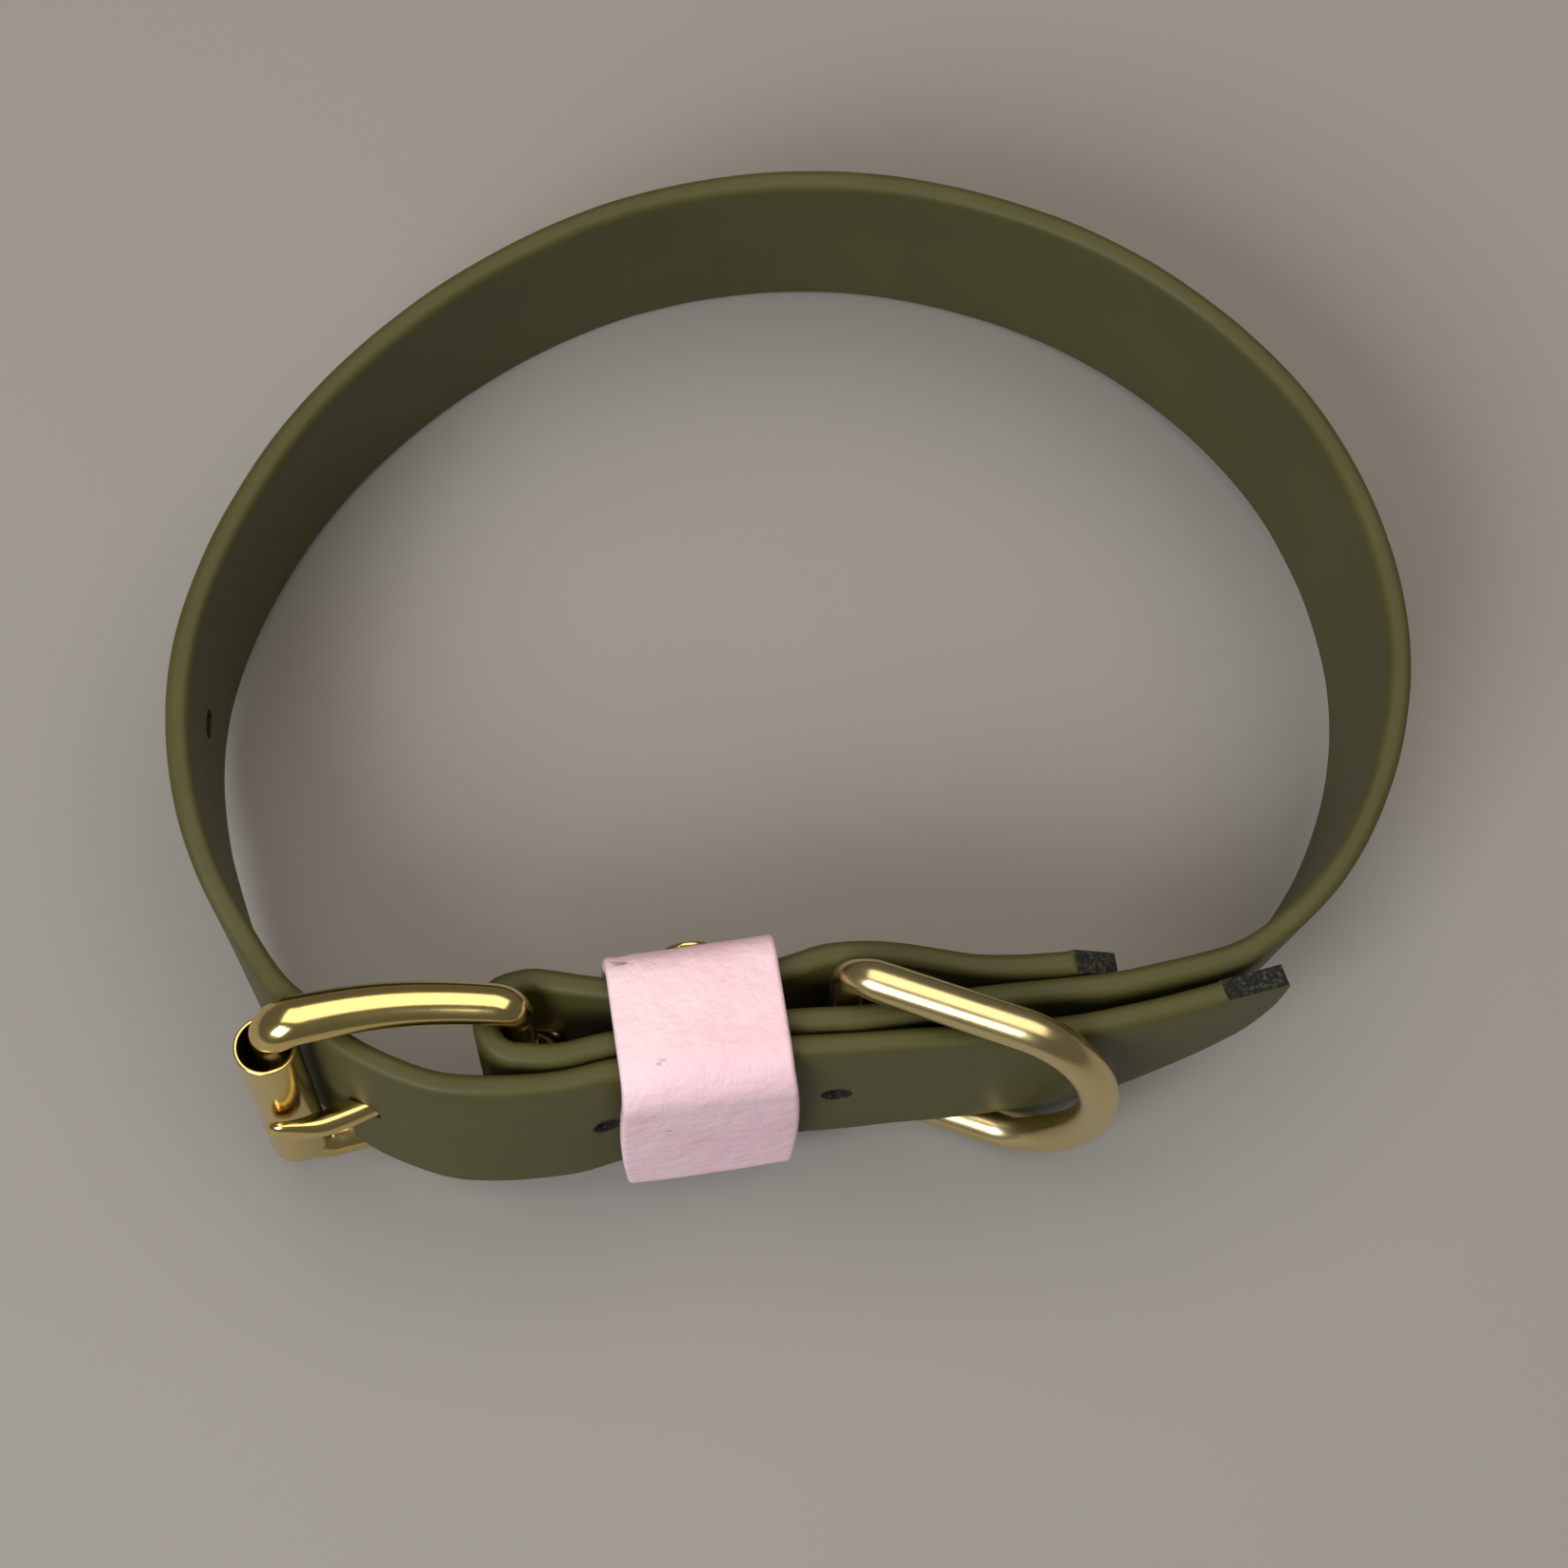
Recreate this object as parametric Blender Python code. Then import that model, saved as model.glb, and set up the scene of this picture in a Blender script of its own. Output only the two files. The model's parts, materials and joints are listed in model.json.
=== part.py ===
# Dog collar: one coated strap buckled into a loop and standing on its edge.
# The strap starts at its short inner end, folds round the heel bar of a roller
# buckle, runs round the whole loop, comes back through the buckle and ends in a
# free tip. A coated keeper loop, a D-ring, a tongue and two rivets go with it.
#
# Axes: X runs along the buckled front from the roller to the tip, Y points from
# the front into the loop, Z is up. The collar rests on z = 0.
# Lengths are metres, angles are degrees.

import math

import bmesh
import bpy
import numpy as np
from mathutils import Matrix

# Strap
STRAP_W = 0.025
STRAP_T = 0.0022
EDGE_ROUND = 0.0008
LAYER_GAP = 0.0003
HOLE_D = 0.003
HOLE_PITCH = 0.0216
HOLES_AFTER_TONGUE = 2
HOLES_BEFORE_TONGUE = 2
TIP_LENGTH = 0.020
TIP_RISE = 0.0109
TIP_NOSE = 0.003
TIP_NOSE_RISE = 0.0061
TIP_TOP_CUT = 0.0065
TIP_TOP_DROP = 0.0018
INNER_END_CUT = 0.0045
INNER_END_DROP = 0.0028

# Loop, measured on the strap's middle
LOOP_HALF_WIDTH = 0.0572
LOOP_DEPTH = 0.0853
FRONT_Y = -0.0309
FRONT_LEAN = 8.0
FRONT_TWIST = -5.15
LEAN_BLEND = 0.026
FLOOR_PLAY = 0.00002

# Free ends and the keeper's place, along X
INNER_END_X = 0.0253
TIP_X = 0.0403
KEEPER_X = -0.01345
KEEPER_W = 0.0166
KEEPER_WALL = 0.0015
KEEPER_ROUND_OUT = 0.0028
KEEPER_ROUND_IN = 0.0016
KEEPER_SLACK = 0.0012
MIDDLE_DIP = 0.0005
TAIL_STANDOFF = 0.00135
FOLD_STANDOFF = 0.0007

# Buckle
HEEL_X = -0.0295
BUCKLE_LENGTH = 0.0226
HEEL_BAR_D = 0.003
FRONT_BAR_D = 0.0032
RAIL_D_HEEL = 0.0032
RAIL_D_FRONT = 0.004
RAIL_BOW = 0.0011
RAIL_OVAL = 1.17
BUCKLE_SIDE_PLAY = 0.0004
HEEL_CORNER = 0.0019
FRONT_CORNER = 0.0027
HEEL_INWARD = 0.0033
FOLD_HALF_X = 0.003
FOLD_HALF_Y = 0.00345
ROLLER_D = 0.0057
ROLLER_WALL = 0.0004
ROLLER_END_PLAY = 0.001
ROLLER_INWARD = 0.0006
ROLLER_DROOP = 0.00045
STRAP_ROLLER_GAP = 0.00085

# Tongue
TONGUE_D = 0.0024
TONGUE_TIP_W = 0.0033
TONGUE_TIP_T = 0.0015
PIN_PLAY = 0.00025
SLOT_PLAY = 0.00035

# D-ring
RING_X = 0.0004
RING_BAR_D = 0.0032
RING_WIRE_D = 0.0038
RING_DEPTH = 0.025
RING_ARC_DEPTH = 0.009
RING_SIDE_PLAY = 0.0007
RING_CORNER = 0.0024
RING_REST_ANGLE = -27.5
RING_EXTRA_LEAN = 0.5
RING_BAR_PLAY = 0.0004

# Rivets
RIVET_SHANK_D = 0.0024
RIVET_HEAD_D = 0.005
RIVET_HEAD_H = 0.0009
RIVET_TAIL_D = 0.0046
RIVET_TAIL_T = 0.0007
RIVET_PLAY = 0.0002
KEEPER_RIVET_UP = 0.0089
RING_RIVET_X = 0.0165

# Facets
SECTION_TURN = 9.0
SECTION_STEP = 0.006
SPLINE_STEPS = 24
WIRE_SIDES = 12
TONGUE_SIDES = 10
ROUND_SIDES = 24
HOLE_SIDES = 16

# The loop's middle line, counter-clockwise from the right of the D-ring.
# Columns: share of the loop's half width, share of its depth from the front.
LOOP_SHAPE = (
    (0.503, 0.0012),
    (0.568, 0.0077),
    (0.633, 0.0171),
    (0.735, 0.054),
    (0.986, 0.298),
    (0.966, 0.595),
    (0.730, 0.831),
    (0.334, 0.980),
    (-0.122, 0.999),
    (-0.532, 0.894),
    (-0.831, 0.710),
    (-0.988, 0.484),
    (-0.977, 0.279),
)

# The loop's end, set by the roller that it comes to.
# Columns: shares of the strap's distance from the roller's middle, along X and Y.
LOOP_END = (
    (-0.25, 2.45),
    (0.43, 1.02),
)

# The inner layer from its end to the ring bar, then on to the keeper.
# Columns: share of that distance, share of the way up to the layer's top.
INNER_TO_RING = (
    (1.000, 0.00),
    (0.727, 0.045),
    (0.586, 0.13),
    (0.458, 0.27),
    (0.345, 0.50),
    (0.217, 0.76),
    (0.100, 0.935),
    (0.000, 1.00),
)
RING_TO_KEEPER = (
    (0.36, 0.985),
    (0.68, 0.88),
    (1.00, 0.785),
)

# The layer inside the keeper: share of the keeper's width, share of the top.
INNER_IN_KEEPER = (
    (0.25, 0.58),
    (0.00, 0.48),
    (-0.25, 0.58),
)

# The layer from the keeper to the fold: share of the distance, of the fold's top.
KEEPER_TO_FOLD = (
    (0.00, 0.765),
    (0.24, 0.835),
    (0.54, 0.940),
    (0.79, 1.013),
)

# The middle layer's dips, in shares of the dip under the ring bar.
# Columns: share of the distance fold to keeper, ring to inner end; dip.
DIP_AFTER_FOLD = (
    (0.28, 1.10),
    (0.49, 1.14),
    (0.76, 0.64),
    (1.00, 0.25),
)
DIP_AFTER_RING = (
    (0.00, 1.00),
    (0.16, 0.75),
    (0.28, 0.55),
    (0.50, 0.25),
    (0.80, 0.54),
    (0.92, 0.62),
    (1.00, 0.50),
)

# The tail's distance outside, in shares of its largest.
# Columns: share of the distance ring to inner end, inner end to tip; standoff.
TAIL_AFTER_RING = (
    (0.21, 0.56),
    (0.345, 0.75),
    (0.62, 0.965),
    (0.77, 1.00),
    (1.00, 0.74),
)
TAIL_TO_TIP = (
    (0.33, 0.31),
    (0.57, -0.07),
    (0.80, -0.55),
    (1.00, -1.00),
)

# The strap's way through the buckle window and over the fold.
# Columns: share of the buckle's length from the roller, share of the way out
# from the strap's place inside the roller to its place outside the fold.
BUCKLE_PASS = (
    (0.290, 0.315),
    (0.471, 0.640),
    (0.649, 0.855),
    (0.804, 0.942),
    (1.000, 0.992),
    (1.150, 1.00),
)

# The tongue from its hole to its tip, in the buckle's plane.
# Columns: share of the buckle's length from the heel bar, share of the
# tongue's distance outside the roller.
TONGUE_SHANK = (
    (0.160, 0.62),
    (0.290, 0.42),
    (0.450, 0.38),
    (0.620, 0.52),
    (0.750, 0.78),
    (0.880, 0.97),
    (0.970, 1.01),
    (1.030, 0.98),
    (1.070, 0.86),
)


def clear_scene():
    for obj in list(bpy.data.objects):
        bpy.data.objects.remove(obj, do_unlink=True)


def smooth_step(t):
    t = min(max(t, 0.0), 1.0)
    return t * t * (3.0 - 2.0 * t)


# Places that follow from the driving dimensions

LAYER_PITCH = STRAP_T + LAYER_GAP
HALF_W = STRAP_W / 2.0
HEEL_Y = FRONT_Y + HEEL_INWARD
ROLLER_X = HEEL_X - BUCKLE_LENGTH
ROLLER_Y = HEEL_Y + ROLLER_INWARD
RING_BAR_Y = FRONT_Y - MIDDLE_DIP + STRAP_T / 2.0 + RING_BAR_PLAY + RING_BAR_D / 2.0
POCKET = STRAP_T + 2.0 * RING_BAR_PLAY + RING_BAR_D
KEEPER_LEFT = KEEPER_X - KEEPER_W / 2.0
KEEPER_RIGHT = KEEPER_X + KEEPER_W / 2.0
OUTER_Y = FRONT_Y - LAYER_PITCH
OUTSIDE_FOLD_Y = OUTER_Y - FOLD_STANDOFF
INSIDE_ROLLER = ROLLER_D / 2.0 + STRAP_T / 2.0 + STRAP_ROLLER_GAP
PASS_ANGLE = 30.0
BACK_Y = FRONT_Y + LOOP_DEPTH

RAIL_HALF_HEEL = HALF_W + BUCKLE_SIDE_PLAY + RAIL_D_HEEL / 2.0
RAIL_HALF_FRONT = HALF_W + BUCKLE_SIDE_PLAY + RAIL_D_FRONT / 2.0
RING_HALF = HALF_W + RING_SIDE_PLAY + RING_WIRE_D / 2.0


def lean_at(x):
    # The front leans into the loop, more at the roller than at the D-ring.
    return math.radians(FRONT_LEAN + FRONT_TWIST * min(max(x, ROLLER_X), TIP_X) / LOOP_HALF_WIDTH)


def laid_back(x, y, lean):
    # The front's layers are stacked square to their lean, inward and down.
    inside = y - FRONT_Y
    return np.array((x, FRONT_Y + inside * math.cos(lean), -inside * math.sin(lean)))


BUCKLE_LEAN = lean_at(HEEL_X - BUCKLE_LENGTH / 2.0)
RING_LEAN = lean_at(RING_X) + math.radians(RING_EXTRA_LEAN)

# The front is lifted until the buckle and the D-ring stand on the surface.
BUCKLE_REACH = RAIL_HALF_FRONT * math.cos(BUCKLE_LEAN)
BUCKLE_REACH += RAIL_D_FRONT / 2.0 * math.hypot(math.cos(BUCKLE_LEAN), RAIL_OVAL * math.sin(BUCKLE_LEAN))
BUCKLE_REACH += (HEEL_INWARD + ROLLER_INWARD + ROLLER_DROOP) * math.sin(BUCKLE_LEAN)
RING_REACH = RING_HALF * math.cos(RING_LEAN) + RING_WIRE_D / 2.0
RING_REACH += (RING_BAR_Y - FRONT_Y) * math.sin(RING_LEAN)
FRONT_LIFT = max(BUCKLE_REACH, RING_REACH) + FLOOR_PLAY - HALF_W
MID_Z = FRONT_LIFT + HALF_W


def lift_at(y):
    # Full lift along the front, falling evenly to nothing at the back.
    front_zone = FRONT_Y + 0.1 * LOOP_DEPTH
    back_zone = BACK_Y - 0.06 * LOOP_DEPTH
    share = (back_zone - y) / (back_zone - front_zone)
    return FRONT_LIFT * min(max(share, 0.0), 1.0)


# Mesh helpers

def make_material(name, colour, roughness, metallic):
    mat = bpy.data.materials.new(name)
    mat.use_nodes = True
    shader = mat.node_tree.nodes["Principled BSDF"]
    shader.inputs["Base Color"].default_value = (*colour, 1.0)
    shader.inputs["Roughness"].default_value = roughness
    shader.inputs["Metallic"].default_value = metallic
    mat.diffuse_color = (*colour, 1.0)
    return mat


def object_from(name, verts, faces, material=None, smooth=True):
    mesh = bpy.data.meshes.new(name)
    mesh.from_pydata([tuple(v) for v in verts], [], faces)
    bm = bmesh.new()
    bm.from_mesh(mesh)
    bmesh.ops.recalc_face_normals(bm, faces=bm.faces)
    bm.to_mesh(mesh)
    bm.free()
    if smooth:
        mesh.shade_smooth()
        mesh.set_sharp_from_angle(angle=math.radians(40.0))
    obj = bpy.data.objects.new(name, mesh)
    bpy.context.collection.objects.link(obj)
    if material:
        mesh.materials.append(material)
    return obj


def loft(rings, closed):
    # Joins rings of equal point counts; open lofts get flat ends.
    count = len(rings[0])
    verts = [p for ring in rings for p in ring]
    faces = []
    last = len(rings) if closed else len(rings) - 1
    for i in range(last):
        a = i * count
        b = ((i + 1) % len(rings)) * count
        for k in range(count):
            m = (k + 1) % count
            faces.append((a + k, a + m, b + m, b + k))
    if not closed:
        faces.append(tuple(range(count - 1, -1, -1)))
        faces.append(tuple(a + count + k for k in range(count)))
    return verts, faces


def wire_rings(points, radii, side, sides, closed, flat=None):
    # Round sections square to a line of points; side is a steady reference.
    points = np.asarray(points)
    rings = []
    n = len(points)
    for i in range(n):
        if closed:
            along = points[(i + 1) % n] - points[i - 1]
        else:
            along = points[min(i + 1, n - 1)] - points[max(i - 1, 0)]
        along = along / np.linalg.norm(along)
        across = np.cross(along, side)
        across = across / np.linalg.norm(across)
        up = np.cross(across, along)
        thick = radii[i] * (flat[i] if flat is not None else 1.0)
        ring = []
        for k in range(sides):
            angle = 2.0 * math.pi * (k + 0.5) / sides
            ring.append(points[i] + across * thick * math.cos(angle) + up * radii[i] * math.sin(angle))
        rings.append(ring)
    return rings


def lathe_rings(profile, centre, axis, sides):
    # Rings of a turned solid; the profile is (place along the axis, radius).
    axis = axis / np.linalg.norm(axis)
    first = np.cross(axis, (0.3, 0.2, 1.0))
    first = first / np.linalg.norm(first)
    second = np.cross(axis, first)
    rings = []
    for along, radius in profile:
        ring = []
        for k in range(sides):
            angle = 2.0 * math.pi * k / sides
            offset = first * math.cos(angle) + second * math.sin(angle)
            ring.append(centre + axis * along + offset * radius)
        rings.append(ring)
    return rings


def cut(target, cutter):
    cutter.hide_render = True
    cutter.display_type = "WIRE"
    mod = target.modifiers.new("Cut " + cutter.name, "BOOLEAN")
    mod.operation = "DIFFERENCE"
    mod.solver = "EXACT"
    mod.object = cutter


def set_origin(obj, place):
    # Moves an object's origin to a place while its mesh stays put.
    obj.data.transform(Matrix.Translation(tuple(-place)))
    obj.location = place


# Strap route

def hermite_line(points, steps):
    # A smooth line through points, turning evenly at each of them.
    pts = np.asarray(points, dtype=float)
    gap = np.linalg.norm(np.diff(pts, axis=0), axis=1)
    slope = np.empty_like(pts)
    slope[0] = pts[1] - pts[0]
    slope[-1] = pts[-1] - pts[-2]
    for i in range(1, len(pts) - 1):
        before = (pts[i] - pts[i - 1]) / gap[i - 1]
        after = (pts[i + 1] - pts[i]) / gap[i]
        slope[i] = before * gap[i] + after * gap[i - 1]
    slope = slope / np.linalg.norm(slope, axis=1)[:, None]
    line = []
    for i in range(len(pts) - 1):
        for k in range(steps):
            t = k / steps
            a = 2 * t**3 - 3 * t**2 + 1
            b = (t**3 - 2 * t**2 + t) * gap[i]
            c = -2 * t**3 + 3 * t**2
            d = (t**3 - t**2) * gap[i]
            line.append(a * pts[i] + b * slope[i] + c * pts[i + 1] + d * slope[i + 1])
    line.append(pts[-1])
    return np.array(line)


def between(start, end, share):
    return start + share * (end - start)


def inner_layer():
    # From the short inner end over the ring bar and through the keeper.
    # Columns: X, distance inside the front's line.
    top = RING_BAR_Y + RING_BAR_D / 2.0 + RING_BAR_PLAY + STRAP_T / 2.0 - FRONT_Y
    low = LAYER_PITCH - 0.8 * MIDDLE_DIP
    fold_top = HEEL_INWARD + FOLD_HALF_Y
    rows = [(between(RING_X, INNER_END_X, a), between(low, top, b)) for a, b in INNER_TO_RING]
    rows += [(between(RING_X, KEEPER_RIGHT, a), between(low, top, b)) for a, b in RING_TO_KEEPER]
    rows += [(KEEPER_X + a * KEEPER_W, between(low, top, b)) for a, b in INNER_IN_KEEPER]
    rows += [(between(KEEPER_LEFT, HEEL_X, a), fold_top * b) for a, b in KEEPER_TO_FOLD]
    return [(x, FRONT_Y + inside) for x, inside in rows]


def fold_round_heel():
    points = []
    for k in range(9):
        angle = math.radians(90.0 + 22.5 * k)
        points.append((HEEL_X + FOLD_HALF_X * math.cos(angle), HEEL_Y + FOLD_HALF_Y * math.sin(angle)))
    return points


def middle_layer():
    rows = [(between(HEEL_X, KEEPER_LEFT, a), dip) for a, dip in DIP_AFTER_FOLD]
    rows += [(KEEPER_X, 0.0), (KEEPER_RIGHT, 0.2), (between(KEEPER_RIGHT, RING_X, 0.62), 0.6)]
    rows += [(between(RING_X, INNER_END_X, a), dip) for a, dip in DIP_AFTER_RING]
    return [(x, FRONT_Y - dip * MIDDLE_DIP) for x, dip in rows]


def loop_points():
    points = [(LOOP_HALF_WIDTH * a, FRONT_Y + LOOP_DEPTH * b) for a, b in LOOP_SHAPE]
    points += [(ROLLER_X + a * INSIDE_ROLLER, ROLLER_Y + b * INSIDE_ROLLER) for a, b in LOOP_END]
    return points


def outer_layer():
    angle = math.radians(PASS_ANGLE)
    inside_x = ROLLER_X + INSIDE_ROLLER * math.cos(angle)
    inside_y = ROLLER_Y + INSIDE_ROLLER * math.sin(angle)
    points = [(inside_x, inside_y)]
    for share, out in BUCKLE_PASS:
        points.append((ROLLER_X + share * BUCKLE_LENGTH, inside_y + out * (OUTSIDE_FOLD_Y - inside_y)))
    points.append((KEEPER_LEFT, OUTER_Y - 0.25 * FOLD_STANDOFF))
    points.append((KEEPER_X, OUTER_Y))
    points.append((KEEPER_RIGHT, OUTER_Y - 0.2 * MIDDLE_DIP))
    points.append((RING_X, OUTER_Y - MIDDLE_DIP))
    for share, out in TAIL_AFTER_RING:
        points.append((between(RING_X, INNER_END_X, share), OUTER_Y - out * TAIL_STANDOFF))
    for share, out in TAIL_TO_TIP:
        points.append((between(INNER_END_X, TIP_X, share), OUTER_Y - out * TAIL_STANDOFF))
    return points


class Route:
    # The strap's middle line from the inner end to the tip, with its places.

    def __init__(self):
        parts = (inner_layer(), fold_round_heel(), middle_layer(), loop_points(), outer_layer())
        line = hermite_line([p for part in parts for p in part], SPLINE_STEPS)
        step = np.linalg.norm(np.diff(line, axis=0), axis=1)
        self.line = line
        self.length = np.concatenate(([0.0], np.cumsum(step)))
        counts = np.cumsum([len(part) for part in parts])
        self.fold_start = self.length[counts[0] * SPLINE_STEPS]
        self.fold_end = self.length[(counts[1] - 1) * SPLINE_STEPS]
        self.loop_start = self.length[(counts[2] - 1) * SPLINE_STEPS]
        self.loop_end = self.length[counts[3] * SPLINE_STEPS]
        self.total = self.length[-1]

    def at(self, s):
        x = np.interp(s, self.length, self.line[:, 0])
        y = np.interp(s, self.length, self.line[:, 1])
        return np.array((x, y))

    def heading(self, s):
        reach = 0.0004
        step = self.at(min(s + reach, self.total)) - self.at(max(s - reach, 0.0))
        return step / np.linalg.norm(step)

    def frame(self, s):
        # Middle point, left-hand normal and the direction across the width.
        place = self.at(s)
        ahead = self.heading(s)
        into = smooth_step((s - self.loop_start) / LEAN_BLEND)
        out = smooth_step((self.loop_end - s) / LEAN_BLEND)
        lean = (1.0 - into * out) * lean_at(place[0])
        upright = np.array((0.0, math.sin(lean), math.cos(lean)))
        middle = laid_back(place[0], place[1], lean)
        middle[2] += lift_at(place[1]) + HALF_W
        normal = np.cross(upright, (ahead[0], ahead[1], 0.0))
        return middle, normal / np.linalg.norm(normal), upright

    def outer_at_x(self, x):
        # Length along the strap where its outer layer passes a given X.
        tail = self.length > self.loop_end
        return float(np.interp(x, self.line[tail, 0], self.length[tail]))

    def slot_ends(self, x):
        # Lengths where the inner and the middle layer pass a given X.
        before = self.length < self.fold_start
        after = (self.length > self.fold_end) & (self.length < self.loop_start)
        first = np.interp(-x, -self.line[before, 0], self.length[before])
        last = np.interp(x, self.line[after, 0], self.length[after])
        return float(first), float(last)

    def stations(self):
        # Even steps on straight runs, closer where the strap bends or ends.
        marks = [0.0]
        turned = 0.0
        before = self.heading(0.0)
        for s in self.length[1:-1]:
            now = self.heading(s)
            turned += math.degrees(math.acos(min(1.0, float(before @ now))))
            before = now
            near_end = min(s, self.total - s) < TIP_LENGTH
            step = SECTION_STEP / 3.0 if near_end else SECTION_STEP
            if self.total - s < TIP_NOSE:
                step = TIP_NOSE / 6.0
            if turned > SECTION_TURN or s - marks[-1] > step:
                marks.append(float(s))
                turned = 0.0
        marks.append(self.total)
        return marks


def strap_edges(s, total):
    # Heights of the lower and upper edge, measured from the strap's middle.
    low = -HALF_W
    high = HALF_W
    to_tip = total - s
    if to_tip < TIP_LENGTH:
        low += TIP_RISE * (1.0 - to_tip / TIP_LENGTH) ** 1.73
    if to_tip < TIP_NOSE:
        low += TIP_NOSE_RISE * (1.0 - to_tip / TIP_NOSE) ** 2.6
    if to_tip < TIP_TOP_CUT:
        high -= TIP_TOP_DROP * (1.0 - to_tip / TIP_TOP_CUT)
    if s < INNER_END_CUT:
        high -= INNER_END_DROP * (1.0 - s / INNER_END_CUT)
        low += INNER_END_DROP * (1.0 - s / INNER_END_CUT)
    return low, high


def strap_section(low, high):
    # A flat bar with rounded edges: (across the thickness, up the width).
    half = STRAP_T / 2.0
    curve = min(EDGE_ROUND, 0.4 * (high - low))
    corners = (
        (half - curve, high - curve, 0.0),
        (-half + curve, high - curve, 90.0),
        (-half + curve, low + curve, 180.0),
        (half - curve, low + curve, 270.0),
    )
    section = []
    for across, up, start in corners:
        for k in range(3):
            angle = math.radians(start + 45.0 * k)
            section.append((across + curve * math.cos(angle), up + curve * math.sin(angle)))
    return section


def build_strap(route, material):
    rings = []
    for s in route.stations():
        middle, normal, upright = route.frame(s)
        low, high = strap_edges(s, route.total)
        rings.append([middle + normal * a + upright * h for a, h in strap_section(low, high)])
    verts, faces = loft(rings, closed=False)
    return object_from("strap", verts, faces, material)


def hole_cutter(route, s, index):
    middle, normal, upright = route.frame(s)
    axis = normal - upright * float(normal @ upright)
    reach = STRAP_T / 2.0 + 0.5 * LAYER_GAP
    profile = ((-reach, HOLE_D / 2.0), (reach, HOLE_D / 2.0))
    verts, faces = loft(lathe_rings(profile, middle, axis, HOLE_SIDES), closed=False)
    return object_from(f"hole_cutter_{index}", verts, faces)


# Buckle, in its own leaned plane

class Plane:
    # A leaned frame: along X, out of the plane, and up the strap's width.

    def __init__(self, x, y, lean):
        self.origin = laid_back(x, y, lean) + np.array((0.0, 0.0, MID_Z))
        self.along = np.array((1.0, 0.0, 0.0))
        self.inward = np.array((0.0, math.cos(lean), -math.sin(lean)))
        self.up = np.array((0.0, math.sin(lean), math.cos(lean)))

    def point(self, along, inward, up):
        return self.origin + self.along * along + self.inward * inward + self.up * up


def corner_points(centre, radius, start, count):
    # A quarter turn in the buckle's plane, as (along, up) pairs.
    points = []
    for k in range(count):
        angle = math.radians(start + 90.0 * k / (count - 1))
        points.append((centre[0] + radius * math.cos(angle), centre[1] + radius * math.sin(angle)))
    return points


def build_buckle_frame(plane, material):
    # One closed wire: heel bar, top rail, front bar inside the roller, low rail.
    front = -BUCKLE_LENGTH + ROLLER_DROOP
    heel_top = RAIL_HALF_HEEL
    front_top = RAIL_HALF_FRONT
    path = [(0.0, -0.3 * heel_top), (0.0, 0.0), (0.0, 0.3 * heel_top), (0.0, 0.62 * heel_top)]
    path += corner_points((-HEEL_CORNER, heel_top - HEEL_CORNER), HEEL_CORNER, 0.0, 5)
    for share in (0.2, 0.35, 0.5, 0.65, 0.8):
        path.append((front * share, heel_top + (front_top - heel_top) * share))
    path += corner_points((front + FRONT_CORNER, front_top - FRONT_CORNER), FRONT_CORNER, 90.0, 6)
    path += [(front, 0.5 * front_top), (front, 0.0), (front, -0.5 * front_top)]
    path += corner_points((front + FRONT_CORNER, -front_top + FRONT_CORNER), FRONT_CORNER, 180.0, 6)
    for share in (0.8, 0.65, 0.5, 0.35, 0.2):
        path.append((front * share, -heel_top - (front_top - heel_top) * share))
    path += corner_points((-HEEL_CORNER, -heel_top + HEEL_CORNER), HEEL_CORNER, 270.0, 5)
    path.append((0.0, -0.62 * heel_top))
    points = []
    radii = []
    flat = []
    front_in = ROLLER_INWARD + ROLLER_DROOP
    for along, up in path:
        share = along / front
        bow = RAIL_BOW * math.sin(math.pi * min(share, 1.0))
        points.append(plane.point(along, front_in * share + bow, up))
        rail = (RAIL_D_HEEL + (RAIL_D_FRONT - RAIL_D_HEEL) * share) / 2.0
        bar = (HEEL_BAR_D if share < 0.5 else FRONT_BAR_D) / 2.0
        height = heel_top + (front_top - heel_top) * share
        corner = HEEL_CORNER if share < 0.5 else FRONT_CORNER
        onto_rail = smooth_step((abs(up) - (height - 1.5 * corner)) / (1.5 * corner))
        oval = 1.0 + (RAIL_OVAL - 1.0) * onto_rail
        radii.append((bar + (rail - bar) * onto_rail) * oval)
        flat.append(1.0 / oval)
    rings = wire_rings(points, radii, plane.inward, WIRE_SIDES, closed=True, flat=flat)
    verts, faces = loft(rings, closed=True)
    return object_from("buckle_frame", verts, faces, material)


def build_roller(plane, material):
    # A thin tube, loose on the front bar and free to turn.
    half = RAIL_HALF_FRONT - RAIL_D_FRONT / 2.0 - ROLLER_END_PLAY
    outer = ROLLER_D / 2.0
    inner = outer - ROLLER_WALL
    centre = plane.point(-BUCKLE_LENGTH, ROLLER_INWARD, 0.0)
    profile = ((-half, inner), (-half, outer), (half, outer), (half, inner))
    rings = lathe_rings(profile, centre, plane.up, ROUND_SIDES)
    verts, faces = loft(rings, closed=True)
    roller = object_from("roller", verts, faces, material)
    return roller, centre


def tongue_points():
    # Curled round the heel bar, then through the strap and over the roller.
    eye = HEEL_BAR_D / 2.0 + PIN_PLAY + TONGUE_D / 2.0
    outside = ROLLER_D / 2.0 + PIN_PLAY + 0.55 * TONGUE_TIP_T - ROLLER_INWARD
    points = []
    for k in range(15):
        angle = math.radians(158.0 - 248.0 * k / 14.0)
        points.append((eye * math.cos(angle), eye * math.sin(angle)))
    curl = len(points)
    for share, out in TONGUE_SHANK:
        points.append((-BUCKLE_LENGTH * share, -outside * out))
    return points, curl


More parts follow.
